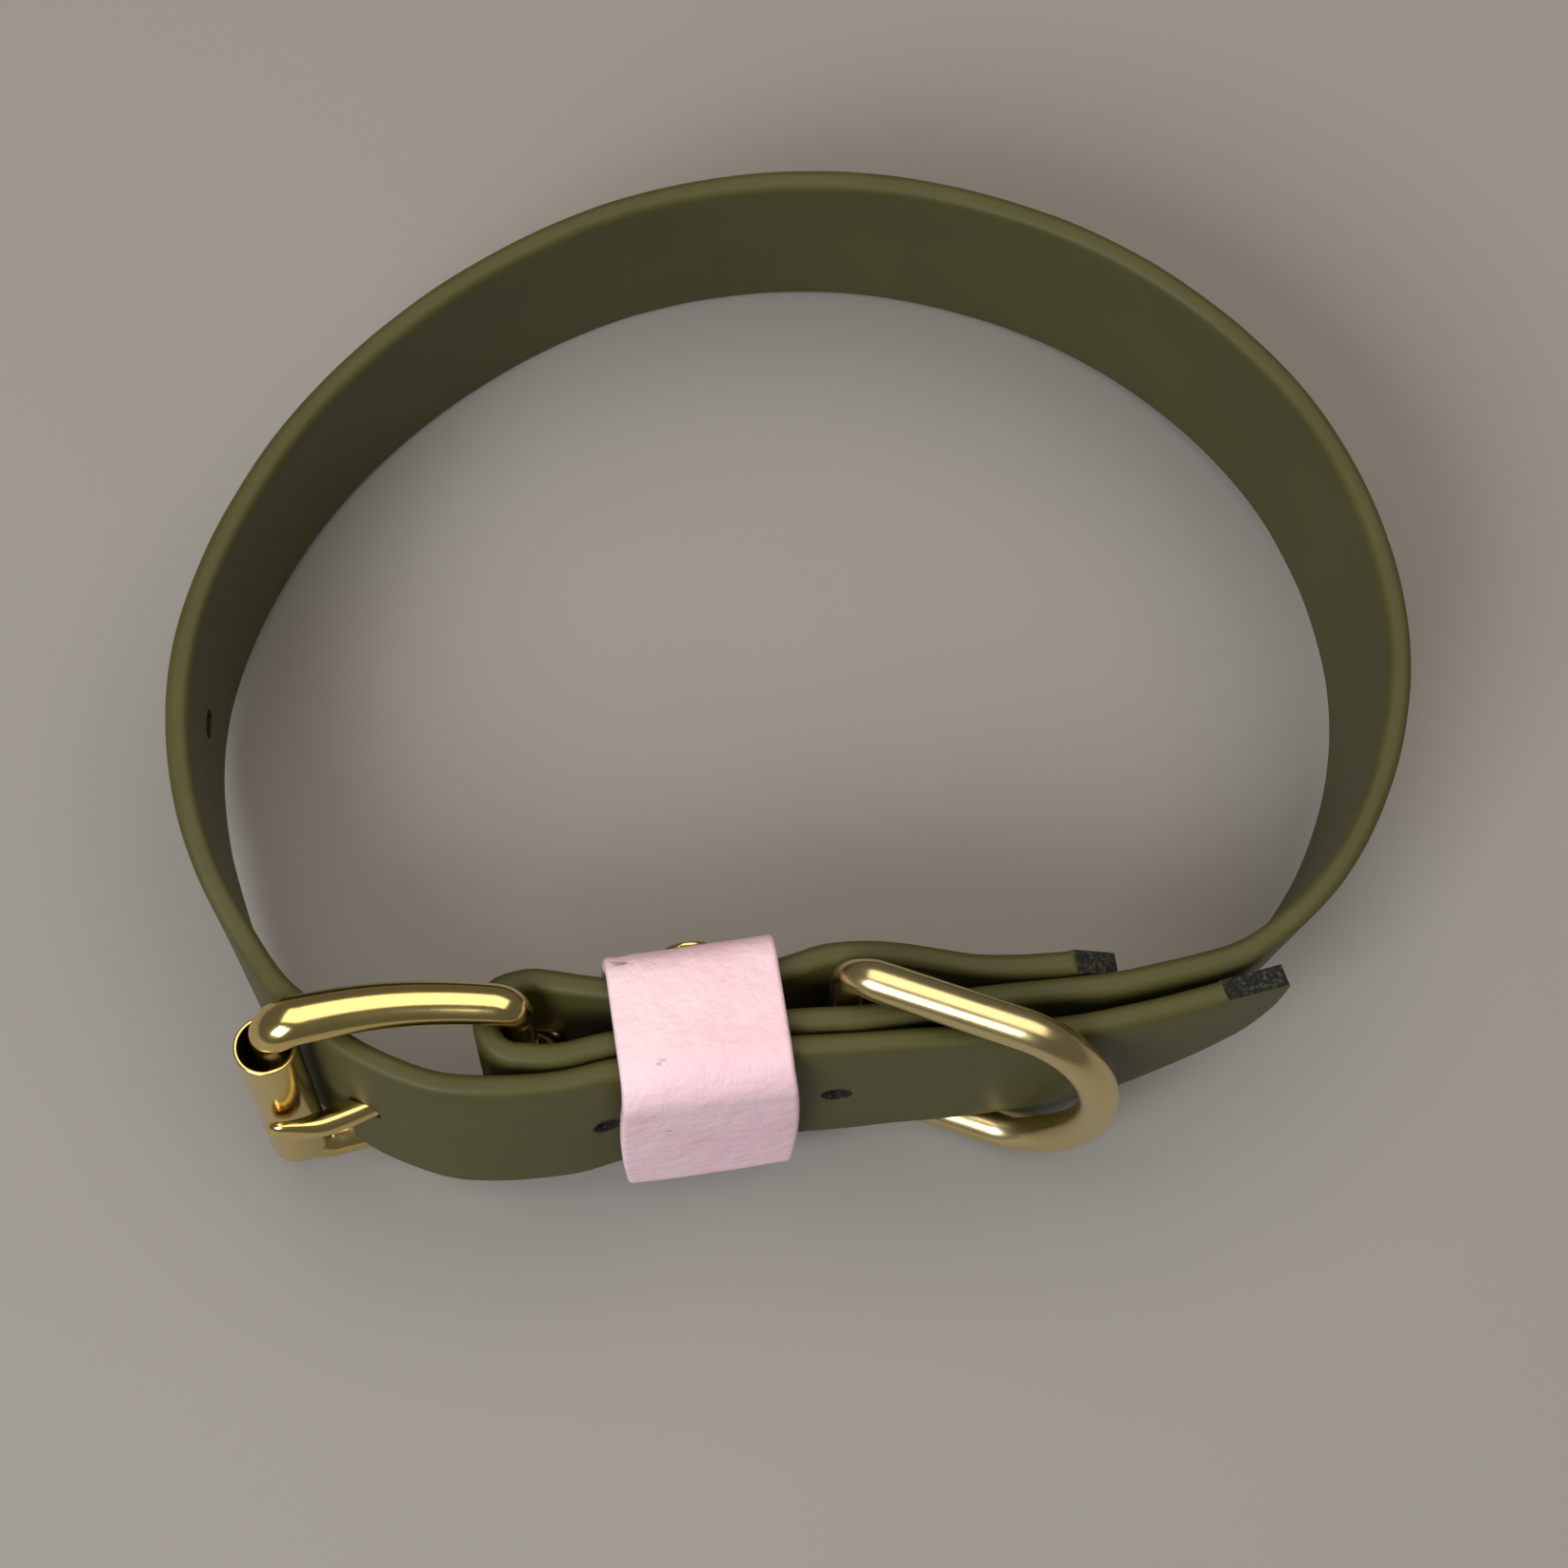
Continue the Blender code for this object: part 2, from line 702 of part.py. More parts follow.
def tongue_rings(plane, extra):
    points, curl = tongue_points()
    fine = hermite_line(points, 3)
    tip = fine[-1]
    places = []
    wide = []
    flat = []
    for along, inward in fine:
        places.append(plane.point(along, inward, 0.0))
        to_tip = math.hypot(along - tip[0], inward - tip[1])
        round_part = smooth_step((to_tip - 0.5 * TONGUE_D) / (1.8 * TONGUE_D))
        end = math.sqrt(max(0.0, 1.0 - (1.0 - min(to_tip / (0.45 * TONGUE_TIP_W), 1.0)) ** 2))
        width = (TONGUE_TIP_W + (TONGUE_D - TONGUE_TIP_W) * round_part) * (0.45 + 0.55 * end)
        thick = (TONGUE_TIP_T + (TONGUE_D - TONGUE_TIP_T) * round_part) * (0.6 + 0.4 * end)
        wide.append(width / 2.0 + extra)
        flat.append((thick / 2.0 + extra) / wide[-1])
    return wire_rings(places, wide, plane.up, TONGUE_SIDES, closed=False, flat=flat)


def build_tongue(plane, material):
    verts, faces = loft(tongue_rings(plane, 0.0), closed=False)
    return object_from("tongue", verts, faces, material)


def tongue_hole_cutter(plane):
    # The used hole is the tongue's own shape with play round it.
    rings = tongue_rings(plane, PIN_PLAY)
    shank = rings[int(0.52 * len(rings)):int(0.87 * len(rings))]
    verts, faces = loft(shank, closed=False)
    return object_from("tongue_hole_cutter", verts, faces)


def fold_slot_cutter(route):
    # A slot along the fold, long enough for the tongue's eye on the heel bar.
    half = TONGUE_D / 2.0 + SLOT_PLAY
    reach = STRAP_T / 2.0 + 0.5 * LAYER_GAP
    eye = HEEL_BAR_D / 2.0 + PIN_PLAY + TONGUE_D
    first, last = route.slot_ends(HEEL_X + eye + 0.5 * SLOT_PLAY)
    rings = []
    for s in np.linspace(first, last, 28):
        middle, normal, upright = route.frame(s)
        corners = ((reach, half), (-reach, half), (-reach, -half), (reach, -half))
        rings.append([middle + normal * a + upright * h for a, h in corners])
    verts, faces = loft(rings, closed=False)
    return object_from("fold_slot_cutter", verts, faces)


# D-ring

def build_ring(material):
    # A straight bar between two layers, two legs and a rounded end.
    lean = Plane(RING_X, RING_BAR_Y, RING_LEAN)
    turn = math.radians(RING_REST_ANGLE)
    out = lean.along * math.cos(turn) + lean.inward * math.sin(turn)
    side = lean.inward * math.cos(turn) - lean.along * math.sin(turn)
    leg = RING_DEPTH - RING_ARC_DEPTH
    path = [(0.0, share * RING_HALF) for share in (-0.55, 0.0, 0.55)]
    path += [(RING_CORNER - a, RING_HALF - RING_CORNER + b) for a, b in ring_corner()]
    path.append((leg, RING_HALF))
    for k in range(1, 20):
        angle = math.radians(90.0 - 9.0 * k)
        path.append((leg + RING_ARC_DEPTH * math.cos(angle), RING_HALF * math.sin(angle)))
    path.append((leg, -RING_HALF))
    path += [(RING_CORNER - a, -RING_HALF + RING_CORNER - b) for a, b in reversed(ring_corner())]
    points = []
    radii = []
    for reach, up in path:
        points.append(lean.origin + out * reach + lean.up * up)
        grow = smooth_step(reach / (1.2 * RING_CORNER))
        radii.append((RING_BAR_D + (RING_WIRE_D - RING_BAR_D) * grow) / 2.0)
    rings = wire_rings(points, radii, side, WIRE_SIDES, closed=True)
    verts, faces = loft(rings, closed=True)
    ring = object_from("d_ring", verts, faces, material)
    return ring, lean


def ring_corner():
    points = []
    for k in range(6):
        angle = math.radians(18.0 * k)
        points.append((RING_CORNER * math.cos(angle), RING_CORNER * math.sin(angle)))
    return points


# Keeper and rivets

KEEPER_OUT = STRAP_T / 2.0 + LAYER_PITCH + KEEPER_SLACK + 1.3 * LAYER_GAP
KEEPER_IN = LAYER_PITCH + STRAP_T / 2.0 + 0.5 * POCKET
KEEPER_HALF = HALF_W + 1.3 * LAYER_GAP


def keeper_outline(grow):
    # A rounded rectangle round all three layers, as (inward, up) pairs.
    curve_in = KEEPER_ROUND_IN + grow
    curve_out = KEEPER_ROUND_OUT + grow
    inside = KEEPER_IN + grow - curve_in
    outside = -KEEPER_OUT - grow + curve_out
    top = KEEPER_HALF + grow
    corners = (
        (inside, top - curve_in, curve_in, 0.0),
        (outside, top - curve_out, curve_out, 90.0),
        (outside, curve_out - top, curve_out, 180.0),
        (inside, curve_in - top, curve_in, 270.0),
    )
    points = []
    for inward, up, curve, start in corners:
        for k in range(6):
            angle = math.radians(start + 18.0 * k)
            points.append((inward + curve * math.cos(angle), up + curve * math.sin(angle)))
    return points


def build_keeper(plane, material):
    half = KEEPER_W / 2.0
    edge = 0.2 * KEEPER_WALL
    # Columns: place along X, wall share outside the inner face.
    sections = (
        (-half + edge, 0.0), (-half, 0.2), (-half, 0.8), (-half + edge, 1.0),
        (half - edge, 1.0), (half, 0.8), (half, 0.2), (half - edge, 0.0),
    )
    rings = []
    for along, share in sections:
        outline = keeper_outline(KEEPER_WALL * share)
        rings.append([plane.point(along, inward, up) for inward, up in outline])
    verts, faces = loft(rings, closed=True)
    return object_from("keeper", verts, faces, material)


def rivet_profile(seat, head_d, head_h, extra):
    # Domed head on its seat, shank, and a tail sunk into the middle layer.
    shank = RIVET_SHANK_D / 2.0 + extra
    tail = RIVET_TAIL_D / 2.0 + extra
    tail_end = -STRAP_T / 2.0 + RIVET_PLAY - (2.0 * extra)
    tail_top = -STRAP_T / 2.0 + RIVET_PLAY + RIVET_TAIL_T + extra
    rows = [(tail_end, tail), (tail_top, tail), (tail_top, shank)]
    if extra:
        return rows + [(seat + head_h, shank)]
    base = seat + RIVET_PLAY
    rows += [(base, shank), (base, head_d / 2.0), (base + 0.3 * head_h, head_d / 2.0)]
    for k in range(1, 5):
        angle = math.radians(20.0 * k)
        rows.append((base + head_h * (0.3 + 0.7 * math.sin(angle)), head_d / 2.0 * math.cos(angle)))
    return rows


def build_rivet(name, plane, up, seat, head_d, head_h, material):
    centre = plane.point(0.0, 0.0, up)
    profile = rivet_profile(seat, head_d, head_h, 0.0)
    verts, faces = loft(lathe_rings(profile, centre, plane.inward, ROUND_SIDES), closed=False)
    rivet = object_from(name, verts, faces, material)
    profile = rivet_profile(seat, head_d, head_h, RIVET_PLAY)
    verts, faces = loft(lathe_rings(profile, centre, plane.inward, HOLE_SIDES), closed=False)
    return rivet, object_from(name + "_cutter", verts, faces)


def stand_on_origin(objects, joints):
    # The origin goes to the middle of the collar's footprint, on the surface.
    bpy.context.view_layer.update()
    corners = []
    for obj in objects:
        corners += [obj.matrix_world @ v.co for v in obj.data.vertices]
    low = np.min(np.array(corners), axis=0)
    high = np.max(np.array(corners), axis=0)
    shift = np.array((-(low[0] + high[0]) / 2.0, -(low[1] + high[1]) / 2.0, -low[2]))
    for obj in bpy.data.objects:
        obj.location = tuple(np.array(obj.location) + shift)
    for name, place, axis in joints:
        print(name, "at", np.round(place + shift, 6), "axis", np.round(axis, 6))
    print("shift", np.round(shift, 6), "size", np.round(high - low, 5))


def main():
    clear_scene()
    strap_coat = make_material("Olive strap coating", (0.118, 0.112, 0.055), 0.55, 0.0)
    keeper_coat = make_material("Pink strap coating", (0.78, 0.49, 0.56), 0.6, 0.0)
    polished = make_material("Polished brass", (0.78, 0.56, 0.22), 0.18, 1.0)
    satin = make_material("Satin brass", (0.72, 0.55, 0.27), 0.3, 1.0)

    route = Route()
    buckle = Plane(HEEL_X, HEEL_Y, BUCKLE_LEAN)
    strap = build_strap(route, strap_coat)
    frame = build_buckle_frame(buckle, polished)
    roller, roller_centre = build_roller(buckle, polished)
    tongue = build_tongue(buckle, polished)
    ring, ring_plane = build_ring(satin)

    hole_x = HEEL_X - 0.61 * BUCKLE_LENGTH
    tongue_hole = route.outer_at_x(hole_x)
    numbers = [k for k in range(-HOLES_BEFORE_TONGUE, HOLES_AFTER_TONGUE + 1) if k]
    cutters = [hole_cutter(route, tongue_hole + HOLE_PITCH * k, i) for i, k in enumerate(numbers)]
    cutters += [tongue_hole_cutter(buckle), fold_slot_cutter(route)]

    keeper_plane = Plane(KEEPER_X, FRONT_Y, lean_at(KEEPER_X))
    keeper = build_keeper(keeper_plane, keeper_coat)
    keeper_rivet, keeper_hole = build_rivet(
        "keeper_rivet", keeper_plane, KEEPER_RIVET_UP, KEEPER_IN + KEEPER_WALL,
        RIVET_HEAD_D, RIVET_HEAD_H, polished)
    rivet_plane = Plane(RING_RIVET_X, FRONT_Y, lean_at(RING_RIVET_X))
    ring_rivet, ring_hole = build_rivet(
        "ring_rivet", rivet_plane, 0.0, LAYER_PITCH + STRAP_T / 2.0 + RIVET_PLAY,
        0.85 * RIVET_HEAD_D, 0.75 * RIVET_HEAD_H, polished)
    for cutter in cutters + [keeper_hole, ring_hole]:
        cut(strap, cutter)
    cut(keeper, keeper_hole)

    set_origin(roller, roller_centre)
    set_origin(ring, ring_plane.origin)
    solids = [strap, frame, roller, tongue, ring, keeper, keeper_rivet, ring_rivet]
    joints = [
        ("roller_spin", roller_centre, buckle.up),
        ("d_ring_swing", ring_plane.origin, ring_plane.up),
    ]
    stand_on_origin(solids, joints)


main()
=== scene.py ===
# Dog collar, the looks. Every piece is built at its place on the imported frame.
# The strap is laid along one route, and the metal is swept along its own lines.
# Each piece has a dictionary of what a user would change, in metres and degrees.

import json
import math

import bmesh
import bpy
import numpy as np
from mathutils import Matrix, Vector, noise


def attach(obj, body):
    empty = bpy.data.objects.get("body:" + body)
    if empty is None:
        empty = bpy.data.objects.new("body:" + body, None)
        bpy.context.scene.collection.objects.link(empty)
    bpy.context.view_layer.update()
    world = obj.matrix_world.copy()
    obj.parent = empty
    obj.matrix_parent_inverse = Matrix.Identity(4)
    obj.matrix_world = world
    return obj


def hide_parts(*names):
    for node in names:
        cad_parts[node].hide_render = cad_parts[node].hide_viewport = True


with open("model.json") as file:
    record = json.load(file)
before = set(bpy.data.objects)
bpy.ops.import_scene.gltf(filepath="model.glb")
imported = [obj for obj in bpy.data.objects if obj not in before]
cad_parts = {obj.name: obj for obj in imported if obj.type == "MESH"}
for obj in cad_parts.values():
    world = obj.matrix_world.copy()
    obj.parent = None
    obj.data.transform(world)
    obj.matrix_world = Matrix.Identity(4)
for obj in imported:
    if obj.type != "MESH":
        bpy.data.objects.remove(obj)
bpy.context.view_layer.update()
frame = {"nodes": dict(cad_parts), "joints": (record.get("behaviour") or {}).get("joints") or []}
print("frame loaded:", sorted(frame["nodes"]))


# Mesh helpers

def smoothStep(t):
    t = min(max(t, 0.0), 1.0)
    return t * t * (3.0 - 2.0 * t)


def between(start, end, share):
    return start + share * (end - start)


def meshPiece(name, verts, faces, tags=None, uv=None, sharp=50.0):
    # tags give each face its material slot, uv gives each corner its place
    mesh = bpy.data.meshes.new(name)
    moved = [tuple(np.asarray(v) + originShift) for v in verts]
    mesh.from_pydata(moved, [], faces)
    if tags is not None:
        mesh.polygons.foreach_set("material_index", tags)
    if uv is not None:
        layer = mesh.uv_layers.new(name="lay")
        layer.data.foreach_set("uv", np.asarray(uv, dtype=np.float32).ravel())
    work = bmesh.new()
    work.from_mesh(mesh)
    bmesh.ops.recalc_face_normals(work, faces=work.faces)
    work.to_mesh(mesh)
    work.free()
    mesh.shade_smooth()
    mesh.set_sharp_from_angle(angle=math.radians(sharp))
    piece = bpy.data.objects.new(name, mesh)
    bpy.context.collection.objects.link(piece)
    return piece


def loft(rings, closed):
    count = len(rings[0])
    verts = [p for row in rings for p in row]
    faces = []
    last = len(rings) if closed else len(rings) - 1
    for i in range(last):
        a = i * count
        b = ((i + 1) % len(rings)) * count
        for k in range(count):
            m = (k + 1) % count
            faces.append((a + k, a + m, b + m, b + k))
    if not closed:
        faces.append(tuple(range(count - 1, -1, -1)))
        faces.append(tuple(a + count + k for k in range(count)))
    return verts, faces


def sweep(points, wide, thick, side, sides, closed):
    # oval sections square to a line; wide runs along side, thick across it
    points = np.asarray(points)
    rings = []
    n = len(points)
    for i in range(n):
        if closed:
            ahead = points[(i + 1) % n] - points[i - 1]
        else:
            ahead = points[min(i + 1, n - 1)] - points[max(i - 1, 0)]
        ahead = ahead / np.linalg.norm(ahead)
        across = np.cross(ahead, side)
        across = across / np.linalg.norm(across)
        up = np.cross(across, ahead)
        turn = 2.0 * math.pi * (np.arange(sides) + 0.5) / sides
        section = np.outer(np.cos(turn) * thick[i], across) + np.outer(np.sin(turn) * wide[i], up)
        rings.append(list(points[i] + section))
    return rings


def turned(profile, centre, axis, sides):
    axis = axis / np.linalg.norm(axis)
    first = np.cross(axis, (0.3, 0.2, 1.0))
    first = first / np.linalg.norm(first)
    second = np.cross(axis, first)
    rings = []
    for along, radius in profile:
        turn = 2.0 * math.pi * np.arange(sides) / sides
        circle = np.outer(np.cos(turn), first) + np.outer(np.sin(turn), second)
        rings.append(list(centre + axis * along + circle * radius))
    return rings


def smoothLine(points, steps):
    # a smooth line through points, turning evenly at each of them
    pts = np.asarray(points, dtype=float)
    gap = np.linalg.norm(np.diff(pts, axis=0), axis=1)
    slope = np.empty_like(pts)
    slope[0] = pts[1] - pts[0]
    slope[-1] = pts[-1] - pts[-2]
    for i in range(1, len(pts) - 1):
        before = (pts[i] - pts[i - 1]) / gap[i - 1]
        after = (pts[i + 1] - pts[i]) / gap[i]
        slope[i] = before * gap[i] + after * gap[i - 1]
    slope = slope / np.linalg.norm(slope, axis=1)[:, None]
    line = []
    for i in range(len(pts) - 1):
        for k in range(steps):
            t = k / steps
            a = 2 * t**3 - 3 * t**2 + 1
            b = (t**3 - 2 * t**2 + t) * gap[i]
            c = -2 * t**3 + 3 * t**2
            d = (t**3 - t**2) * gap[i]
            line.append(a * pts[i] + b * slope[i] + c * pts[i + 1] + d * slope[i + 1])
    line.append(pts[-1])
    return np.array(line)


def arcPoints(centre, radius, start, turn, count):
    # part of a circle in a plane, as (along, up) pairs
    points = []
    for k in range(count):
        angle = math.radians(start + turn * k / (count - 1))
        points.append((centre[0] + radius * math.cos(angle), centre[1] + radius * math.sin(angle)))
    return points


def punch(piece, cutters):
    # cuts the cutters out of the piece and keeps the result as its mesh
    for cutter in cutters:
        mod = piece.modifiers.new(cutter.name, "BOOLEAN")
        mod.operation = "DIFFERENCE"
        mod.solver = "EXACT"
        mod.material_mode = "TRANSFER"
        mod.object = cutter
    bpy.context.view_layer.update()
    graph = bpy.context.evaluated_depsgraph_get()
    result = bpy.data.meshes.new_from_object(piece.evaluated_get(graph), depsgraph=graph)
    piece.modifiers.clear()
    piece.data = result
    for cutter in cutters:
        bpy.data.objects.remove(cutter, do_unlink=True)


# Materials

def toLinear(hexColour):
    # "#rrggbb" as a screen shows it, to the linear values that shaders use
    parts = [int(hexColour[i:i + 2], 16) / 255.0 for i in (1, 3, 5)]
    linear = [p / 12.92 if p <= 0.04045 else ((p + 0.055) / 1.055) ** 2.4 for p in parts]
    return (*linear, 1.0)


def newMaterial(name, hexColour, roughness, metallic=0.0):
    mat = bpy.data.materials.new(name)
    mat.use_nodes = True
    shader = mat.node_tree.nodes["Principled BSDF"]
    shader.inputs["Base Color"].default_value = toLinear(hexColour)
    shader.inputs["Roughness"].default_value = roughness
    shader.inputs["Metallic"].default_value = metallic
    return mat, shader


def addNode(mat, kind, settings=None, links=None):
    # one node with its settings and its incoming links
    node = mat.node_tree.nodes.new(kind)
    for key, value in (settings or {}).items():
        if key in node.inputs:
            node.inputs[key].default_value = value
        else:
            setattr(node, key, value)
    for key, source in (links or {}).items():
        mat.node_tree.links.new(source, node.inputs[key])
    return node


def rampNode(mat, source, stops):
    ramp = addNode(mat, "ShaderNodeValToRGB", links={"Fac": source})
    band = ramp.color_ramp
    while len(band.elements) < len(stops):
        band.elements.new(0.5)
    for element, (place, colour) in zip(band.elements, stops):
        element.position = place
        element.color = toLinear(colour)
    return ramp


def grainScale(mm):
    # a noise texture's grains are 1 / scale metres wide
    return 1000.0 / mm


def bandScale(mm):
    # a wave texture's bands are 2 pi / 20 / scale metres apart
    return 1000.0 * 2.0 * math.pi / 20.0 / mm


def strapCoating():
    # Smooth PVC coating drawn over polyester webbing: a soft matte sheen, with
    # the cords of the webbing just showing through as fine cross ribs.
    mat, shader = newMaterial("matte PVC coated webbing", "#4e4c27", 0.5)
    shader.inputs["Specular IOR Level"].default_value = 0.3
    coords = addNode(mat, "ShaderNodeTexCoord")
    place = addNode(mat, "ShaderNodeUVMap", {"uv_map": "lay"})
    # ribs 1.8 mm apart along the strap, over slow dents of 2.4 mm
    along = {"Vector": place.outputs["UV"]}
    bend = addNode(mat, "ShaderNodeTexNoise", {"Scale": grainScale(2.38), "Detail": 2.0}, along)
    ribs = addNode(
        mat, "ShaderNodeTexWave",
        {
            "wave_type": "BANDS", "bands_direction": "X",
            "Scale": bandScale(1.785), "Distortion": 1.6, "Detail": 2.0,
        }, along)
    here = {"Vector": coords.outputs["Object"]}
    grain = addNode(mat, "ShaderNodeTexNoise", {"Scale": grainScale(0.192), "Detail": 3.0}, here)
    cloud = addNode(mat, "ShaderNodeTexNoise", {"Scale": grainScale(11.1), "Detail": 4.0}, here)
    tone = rampNode(mat, cloud.outputs["Fac"], ((0.3, "#4b4925"), (0.7, "#52502a")))
    mat.node_tree.links.new(tone.outputs["Color"], shader.inputs["Base Color"])
    rough = addNode(
        mat, "ShaderNodeMapRange", {"To Min": 0.44, "To Max": 0.6}, {"Value": cloud.outputs["Fac"]})
    mat.node_tree.links.new(rough.outputs["Result"], shader.inputs["Roughness"])
    ribBump = addNode(
        mat, "ShaderNodeBump", {"Strength": 0.22, "Distance": 0.00003}, {"Height": ribs.outputs["Fac"]})
    bendBump = addNode(
        mat, "ShaderNodeBump", {"Strength": 0.25, "Distance": 0.00006},
        {"Height": bend.outputs["Fac"], "Normal": ribBump.outputs["Normal"]})
    grainBump = addNode(
        mat, "ShaderNodeBump", {"Strength": 0.3, "Distance": 0.00002},
        {"Height": grain.outputs["Fac"], "Normal": bendBump.outputs["Normal"]})
    mat.node_tree.links.new(grainBump.outputs["Normal"], shader.inputs["Normal"])
    return mat


def strapCore():
    # Cut polyester webbing: grey, dull and fibrous, darker between the cords.
    mat, shader = newMaterial("cut polyester core", "#3a3b34", 0.9)
    coords = addNode(mat, "ShaderNodeTexCoord")
    fibres = addNode(
        mat, "ShaderNodeTexNoise", {"Scale": grainScale(0.385), "Detail": 5.0, "Roughness": 0.7},
        {"Vector": coords.outputs["Object"]})
    tone = rampNode(mat, fibres.outputs["Fac"], ((0.34, "#0b0b08"), (0.52, "#24251f"), (0.72, "#6b6d63")))
    mat.node_tree.links.new(tone.outputs["Color"], shader.inputs["Base Color"])
    bump = addNode(
        mat, "ShaderNodeBump", {"Strength": 1.0, "Distance": 0.0004}, {"Height": fibres.outputs["Fac"]})
    mat.node_tree.links.new(bump.outputs["Normal"], shader.inputs["Normal"])
    return mat


def keeperCoating():
    # The same webbing with a thicker pink coating: dull, softly pebbled, and
    # scuffed with a few short grey marks.
    mat, shader = newMaterial("matte PVC coating, pebbled", "#fbdae4", 0.48)
    coords = addNode(mat, "ShaderNodeTexCoord")
    here = {"Vector": coords.outputs["Object"]}
    pebble = addNode(
        mat, "ShaderNodeTexNoise", {"Scale": grainScale(1.61), "Detail": 4.0, "Roughness": 0.6}, here)
    cloud = addNode(mat, "ShaderNodeTexNoise", {"Scale": grainScale(7.7), "Detail": 3.0}, here)
    tone = rampNode(mat, cloud.outputs["Fac"], ((0.3, "#f7cfdb"), (0.7, "#fde0e8")))
    # grains three times as long along the strap; only their peaks show, as scuffs
    stretch = addNode(
        mat, "ShaderNodeMapping",
        {"Scale": (grainScale(5.9), grainScale(1.92), grainScale(1.92)), "Rotation": (0.0, 0.3, 0.5)}, here)
    scuff = addNode(
        mat, "ShaderNodeTexNoise", {"Scale": 1.0, "Detail": 4.0}, {"Vector": stretch.outputs["Vector"]})
    mask = addNode(
        mat, "ShaderNodeMapRange", {"From Min": 0.67, "From Max": 0.73}, {"Value": scuff.outputs["Fac"]})
    mix = addNode(
        mat, "ShaderNodeMix", {"data_type": "RGBA"},
        {"Factor": mask.outputs["Result"]})
    mat.node_tree.links.new(tone.outputs["Color"], mix.inputs["A"])
    mix.inputs["B"].default_value = toLinear("#8a6f76")
    mat.node_tree.links.new(mix.outputs["Result"], shader.inputs["Base Color"])
    bump = addNode(
        mat, "ShaderNodeBump", {"Strength": 0.75, "Distance": 0.0003}, {"Height": pebble.outputs["Fac"]})
    mat.node_tree.links.new(bump.outputs["Normal"], shader.inputs["Normal"])
    return mat


def brass(name, hexColour, roughness, grit):
    # Solid brass: warm yellow reflections; fine turning and handling marks
    # spread them a little.
    mat, shader = newMaterial(name, hexColour, roughness, 1.0)
    coords = addNode(mat, "ShaderNodeTexCoord")
    here = {"Vector": coords.outputs["Object"]}
    wear = addNode(mat, "ShaderNodeTexNoise", {"Scale": grainScale(3.85), "Detail": 5.0}, here)
    spread = addNode(
        mat, "ShaderNodeMapRange", {"To Min": roughness * 0.75, "To Max": roughness * 1.35},
        {"Value": wear.outputs["Fac"]})
    mat.node_tree.links.new(spread.outputs["Result"], shader.inputs["Roughness"])
    # fine marks, drawn at 0.26 mm, which is coarser than real ones
    fine = addNode(mat, "ShaderNodeTexNoise", {"Scale": grainScale(0.263), "Detail": 2.0}, here)
    bump = addNode(
        mat, "ShaderNodeBump", {"Strength": grit, "Distance": 0.00002}, {"Height": fine.outputs["Fac"]})
    mat.node_tree.links.new(bump.outputs["Normal"], shader.inputs["Normal"])
    return mat


finishes = {
    "coating": strapCoating(),
    "core": strapCore(),
    "keeper": keeperCoating(),
    "polished": brass("polished brass", "#e4cc86", 0.16, 0.05),
    "satin": brass("satin brass", "#e0cd96", 0.24, 0.12),
}
print("materials made:", len(finishes))


# Strap

strap = {
    "width": 0.025,
    "thickness": 0.0022,
    "edgeRound": 0.00085,
    "cutRound": 0.00012,  # where it is cut instead of moulded
    "cutBlend": 0.003,
    "layerGap": 0.0003,
    "holeWidth": 0.003,
    "holePitch": 0.0216,
    "holesBefore": 2,
    "holesAfter": 2,
    "usedHole": 0.61,  # share of the buckle's length from the heel bar
    "tipLength": 0.020,
    "tipRise": 0.0109,
    "tipCurve": 1.73,
    "tipNose": 0.003,
    "tipNoseRise": 0.0061,
    "noseCurve": 2.6,
    "tipTopCut": 0.0065,
    "tipTopDrop": 0.0018,
    "endCut": 0.0045,
    "endDrop": 0.0028,
    "innerEndX": 0.0253,
    "tipX": 0.0403,
    "middleDip": 0.0005,
    "tailStandoff": 0.00135,
    "foldStandoff": 0.0007,
    "wobble": 0.00007,
    "station": 0.0008,  # distance between two sections
}

loop = {
    "halfWidth": 0.0572,
    "depth": 0.0853,
    "frontY": -0.0309,
    "lean": 8.0,
    "twist": -5.15,
    "leanBlend": 0.026,
    "liftShares": (0.06, 0.84),  # of the depth: where the lift starts and how long it takes
    "floorPlay": 0.00002,
}

# The loop's middle line: shares of its half width and of its depth.
loopShape = (
    (0.503, 0.0012), (0.568, 0.0077), (0.633, 0.0171), (0.735, 0.054), (0.986, 0.298),
    (0.966, 0.595), (0.730, 0.831), (0.334, 0.980), (-0.122, 0.999), (-0.532, 0.894),
    (-0.831, 0.710), (-0.988, 0.484), (-0.977, 0.279),
)

# Its end, in shares of the strap's distance from the roller's middle.
loopEnd = ((-0.25, 2.45), (0.43, 1.02))

# The inner layer: share of the way to the next place, share of the height there.
innerToRing = (
    (1.000, 0.00), (0.727, 0.045), (0.586, 0.13), (0.458, 0.27),
    (0.345, 0.50), (0.217, 0.76), (0.100, 0.935), (0.000, 1.00),
)
ringToKeeper = ((0.36, 0.985), (0.68, 0.88), (1.00, 0.785))
innerInKeeper = ((0.25, 0.58), (0.00, 0.48), (-0.25, 0.58))
keeperToFold = ((0.00, 0.765), (0.24, 0.835), (0.54, 0.940), (0.79, 1.013))

